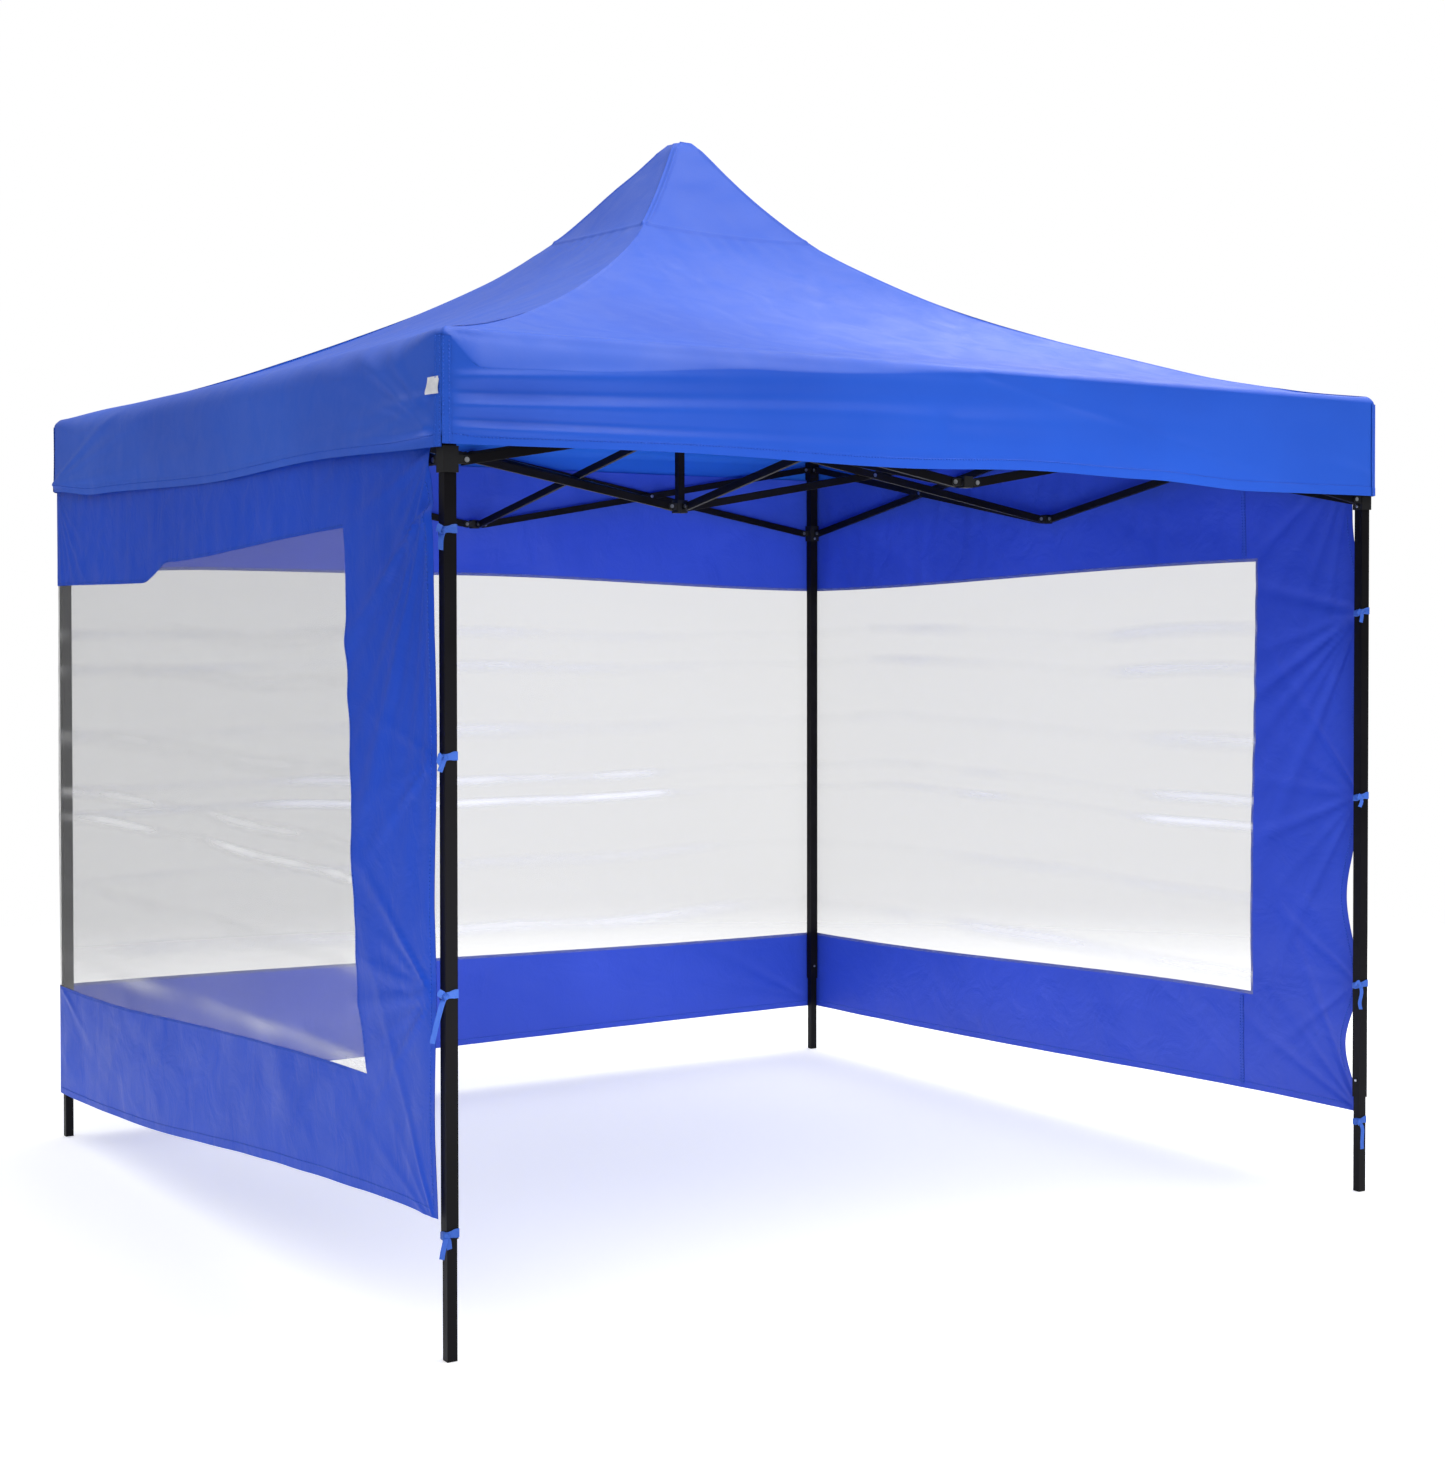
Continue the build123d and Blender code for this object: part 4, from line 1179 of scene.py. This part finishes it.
def knotShell(centre, size):
    # a lump: a sphere with a wavy radius, closed at its poles
    rows, columns = 9, 16
    tilt = np.linspace(0.02, np.pi - 0.02, rows)[:, None]
    turn = np.linspace(0, 2 * np.pi, columns, endpoint=False)[None, :]
    radius = size * (1 + 0.16 * np.sin(3 * turn + 2 * tilt))
    unit = np.stack(
        np.broadcast_arrays(np.sin(tilt) * np.cos(turn), np.sin(tilt) * np.sin(turn), np.cos(tilt)), axis=-1
    )
    points = centre + unit * radius[..., None] * np.array([1.0, 0.8, 0.9])
    faces = wrapFaces(rows, columns)[:, ::-1]
    index = np.arange(rows * columns).reshape(rows, columns)
    ends = [
        (ring[0], ring[k], ring[k + 1], ring[k + 2])
        for ring in (index[0], index[-1][::-1]) for k in range(1, columns - 2, 2)
    ]
    return points.reshape(-1, 3), np.concatenate([faces, np.array(ends)]), unit.reshape(-1, 3)


for corner, ends in tieEnds.items():
    sideways, away = np.array(ends["side"] + (0,)), np.array(ends["away"] + (0,))
    for number, tails in ends["tails"].items():
        knot = np.array(ends["knot"] + (ties["heights"][corner][number - 1],))
        shells = [knotShell(knot, ties["knotSize"])]
        for tail in tails:
            path = [knot + sideways * a + away * b + np.array([0, 0, c]) for a, b, c in np.array(tail) / 1000]
            shells.append(ribbonShell(path, np.cross(path[-1] - path[0], away), ties["tailWidth"]))
        rideLeg(joinShells(f"tie_ends_{corner}_{number}", shells, [ribbon]), corner)
print("ties ready")

# carried-over parts
boltSize = {"width": 0.014, "length": 0.06}  # the most that a pivot bolt measures across and along


def boltTriangles(mesh):
    # which triangles belong to bolts: triangles that share corners get the same number, the lowest among them,
    # spread until it no longer changes, and a group's box tells whether it's a bolt
    place = np.empty(len(mesh.vertices) * 3)
    mesh.vertices.foreach_get("co", place)
    corner = np.empty(len(mesh.loops), np.int64)
    mesh.loops.foreach_get("vertex_index", corner)
    merged, number = np.unique(np.round(place.reshape(-1, 3), 5), axis=0, return_inverse=True)
    triangles = number.reshape(-1)[corner].reshape(-1, 3)
    group = np.arange(len(merged))
    while True:
        spread = group.copy()
        np.minimum.at(spread, triangles.reshape(-1), np.repeat(group[triangles].min(axis=1), 3))
        spread = spread[spread]
        if (spread == group).all():
            break
        group = spread
    low, high = np.full((len(merged), 3), 1e9), np.full((len(merged), 3), -1e9)
    np.minimum.at(low, group, merged)
    np.maximum.at(high, group, merged)
    extent = np.sort(high - low, axis=1)
    bolt = (extent[:, 1] < boltSize["width"]) & (extent[:, 2] < boltSize["length"]) & (extent[:, 2] > 0)
    return bolt[group[triangles[:, 0]]], int((bolt & (group == np.arange(len(merged)))).sum())


withBolts = (
    "side_bar", "inner_bar", "middle_bracket", "outer_leg", "slider_front", "slider_back", "upper_hub", "lower_hub",
)
boltCount = 0
for name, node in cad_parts.items():
    if "button" in name:
        finish = zincSteel
    elif name.startswith(("slider", "upper_hub", "lower_hub", "middle_bracket", "pole_cap")):
        finish = mouldedNylon
    else:
        finish = powderCoat
    node.data.materials.clear()
    node.data.materials.append(finish)
    if name.startswith(withBolts):
        node.data.materials.append(zincSteel)
        onBolt, found = boltTriangles(node.data)
        node.data.polygons.foreach_set("material_index", onBolt.astype(np.int32))
        boltCount += found
print("bolts given their own finish:", boltCount)
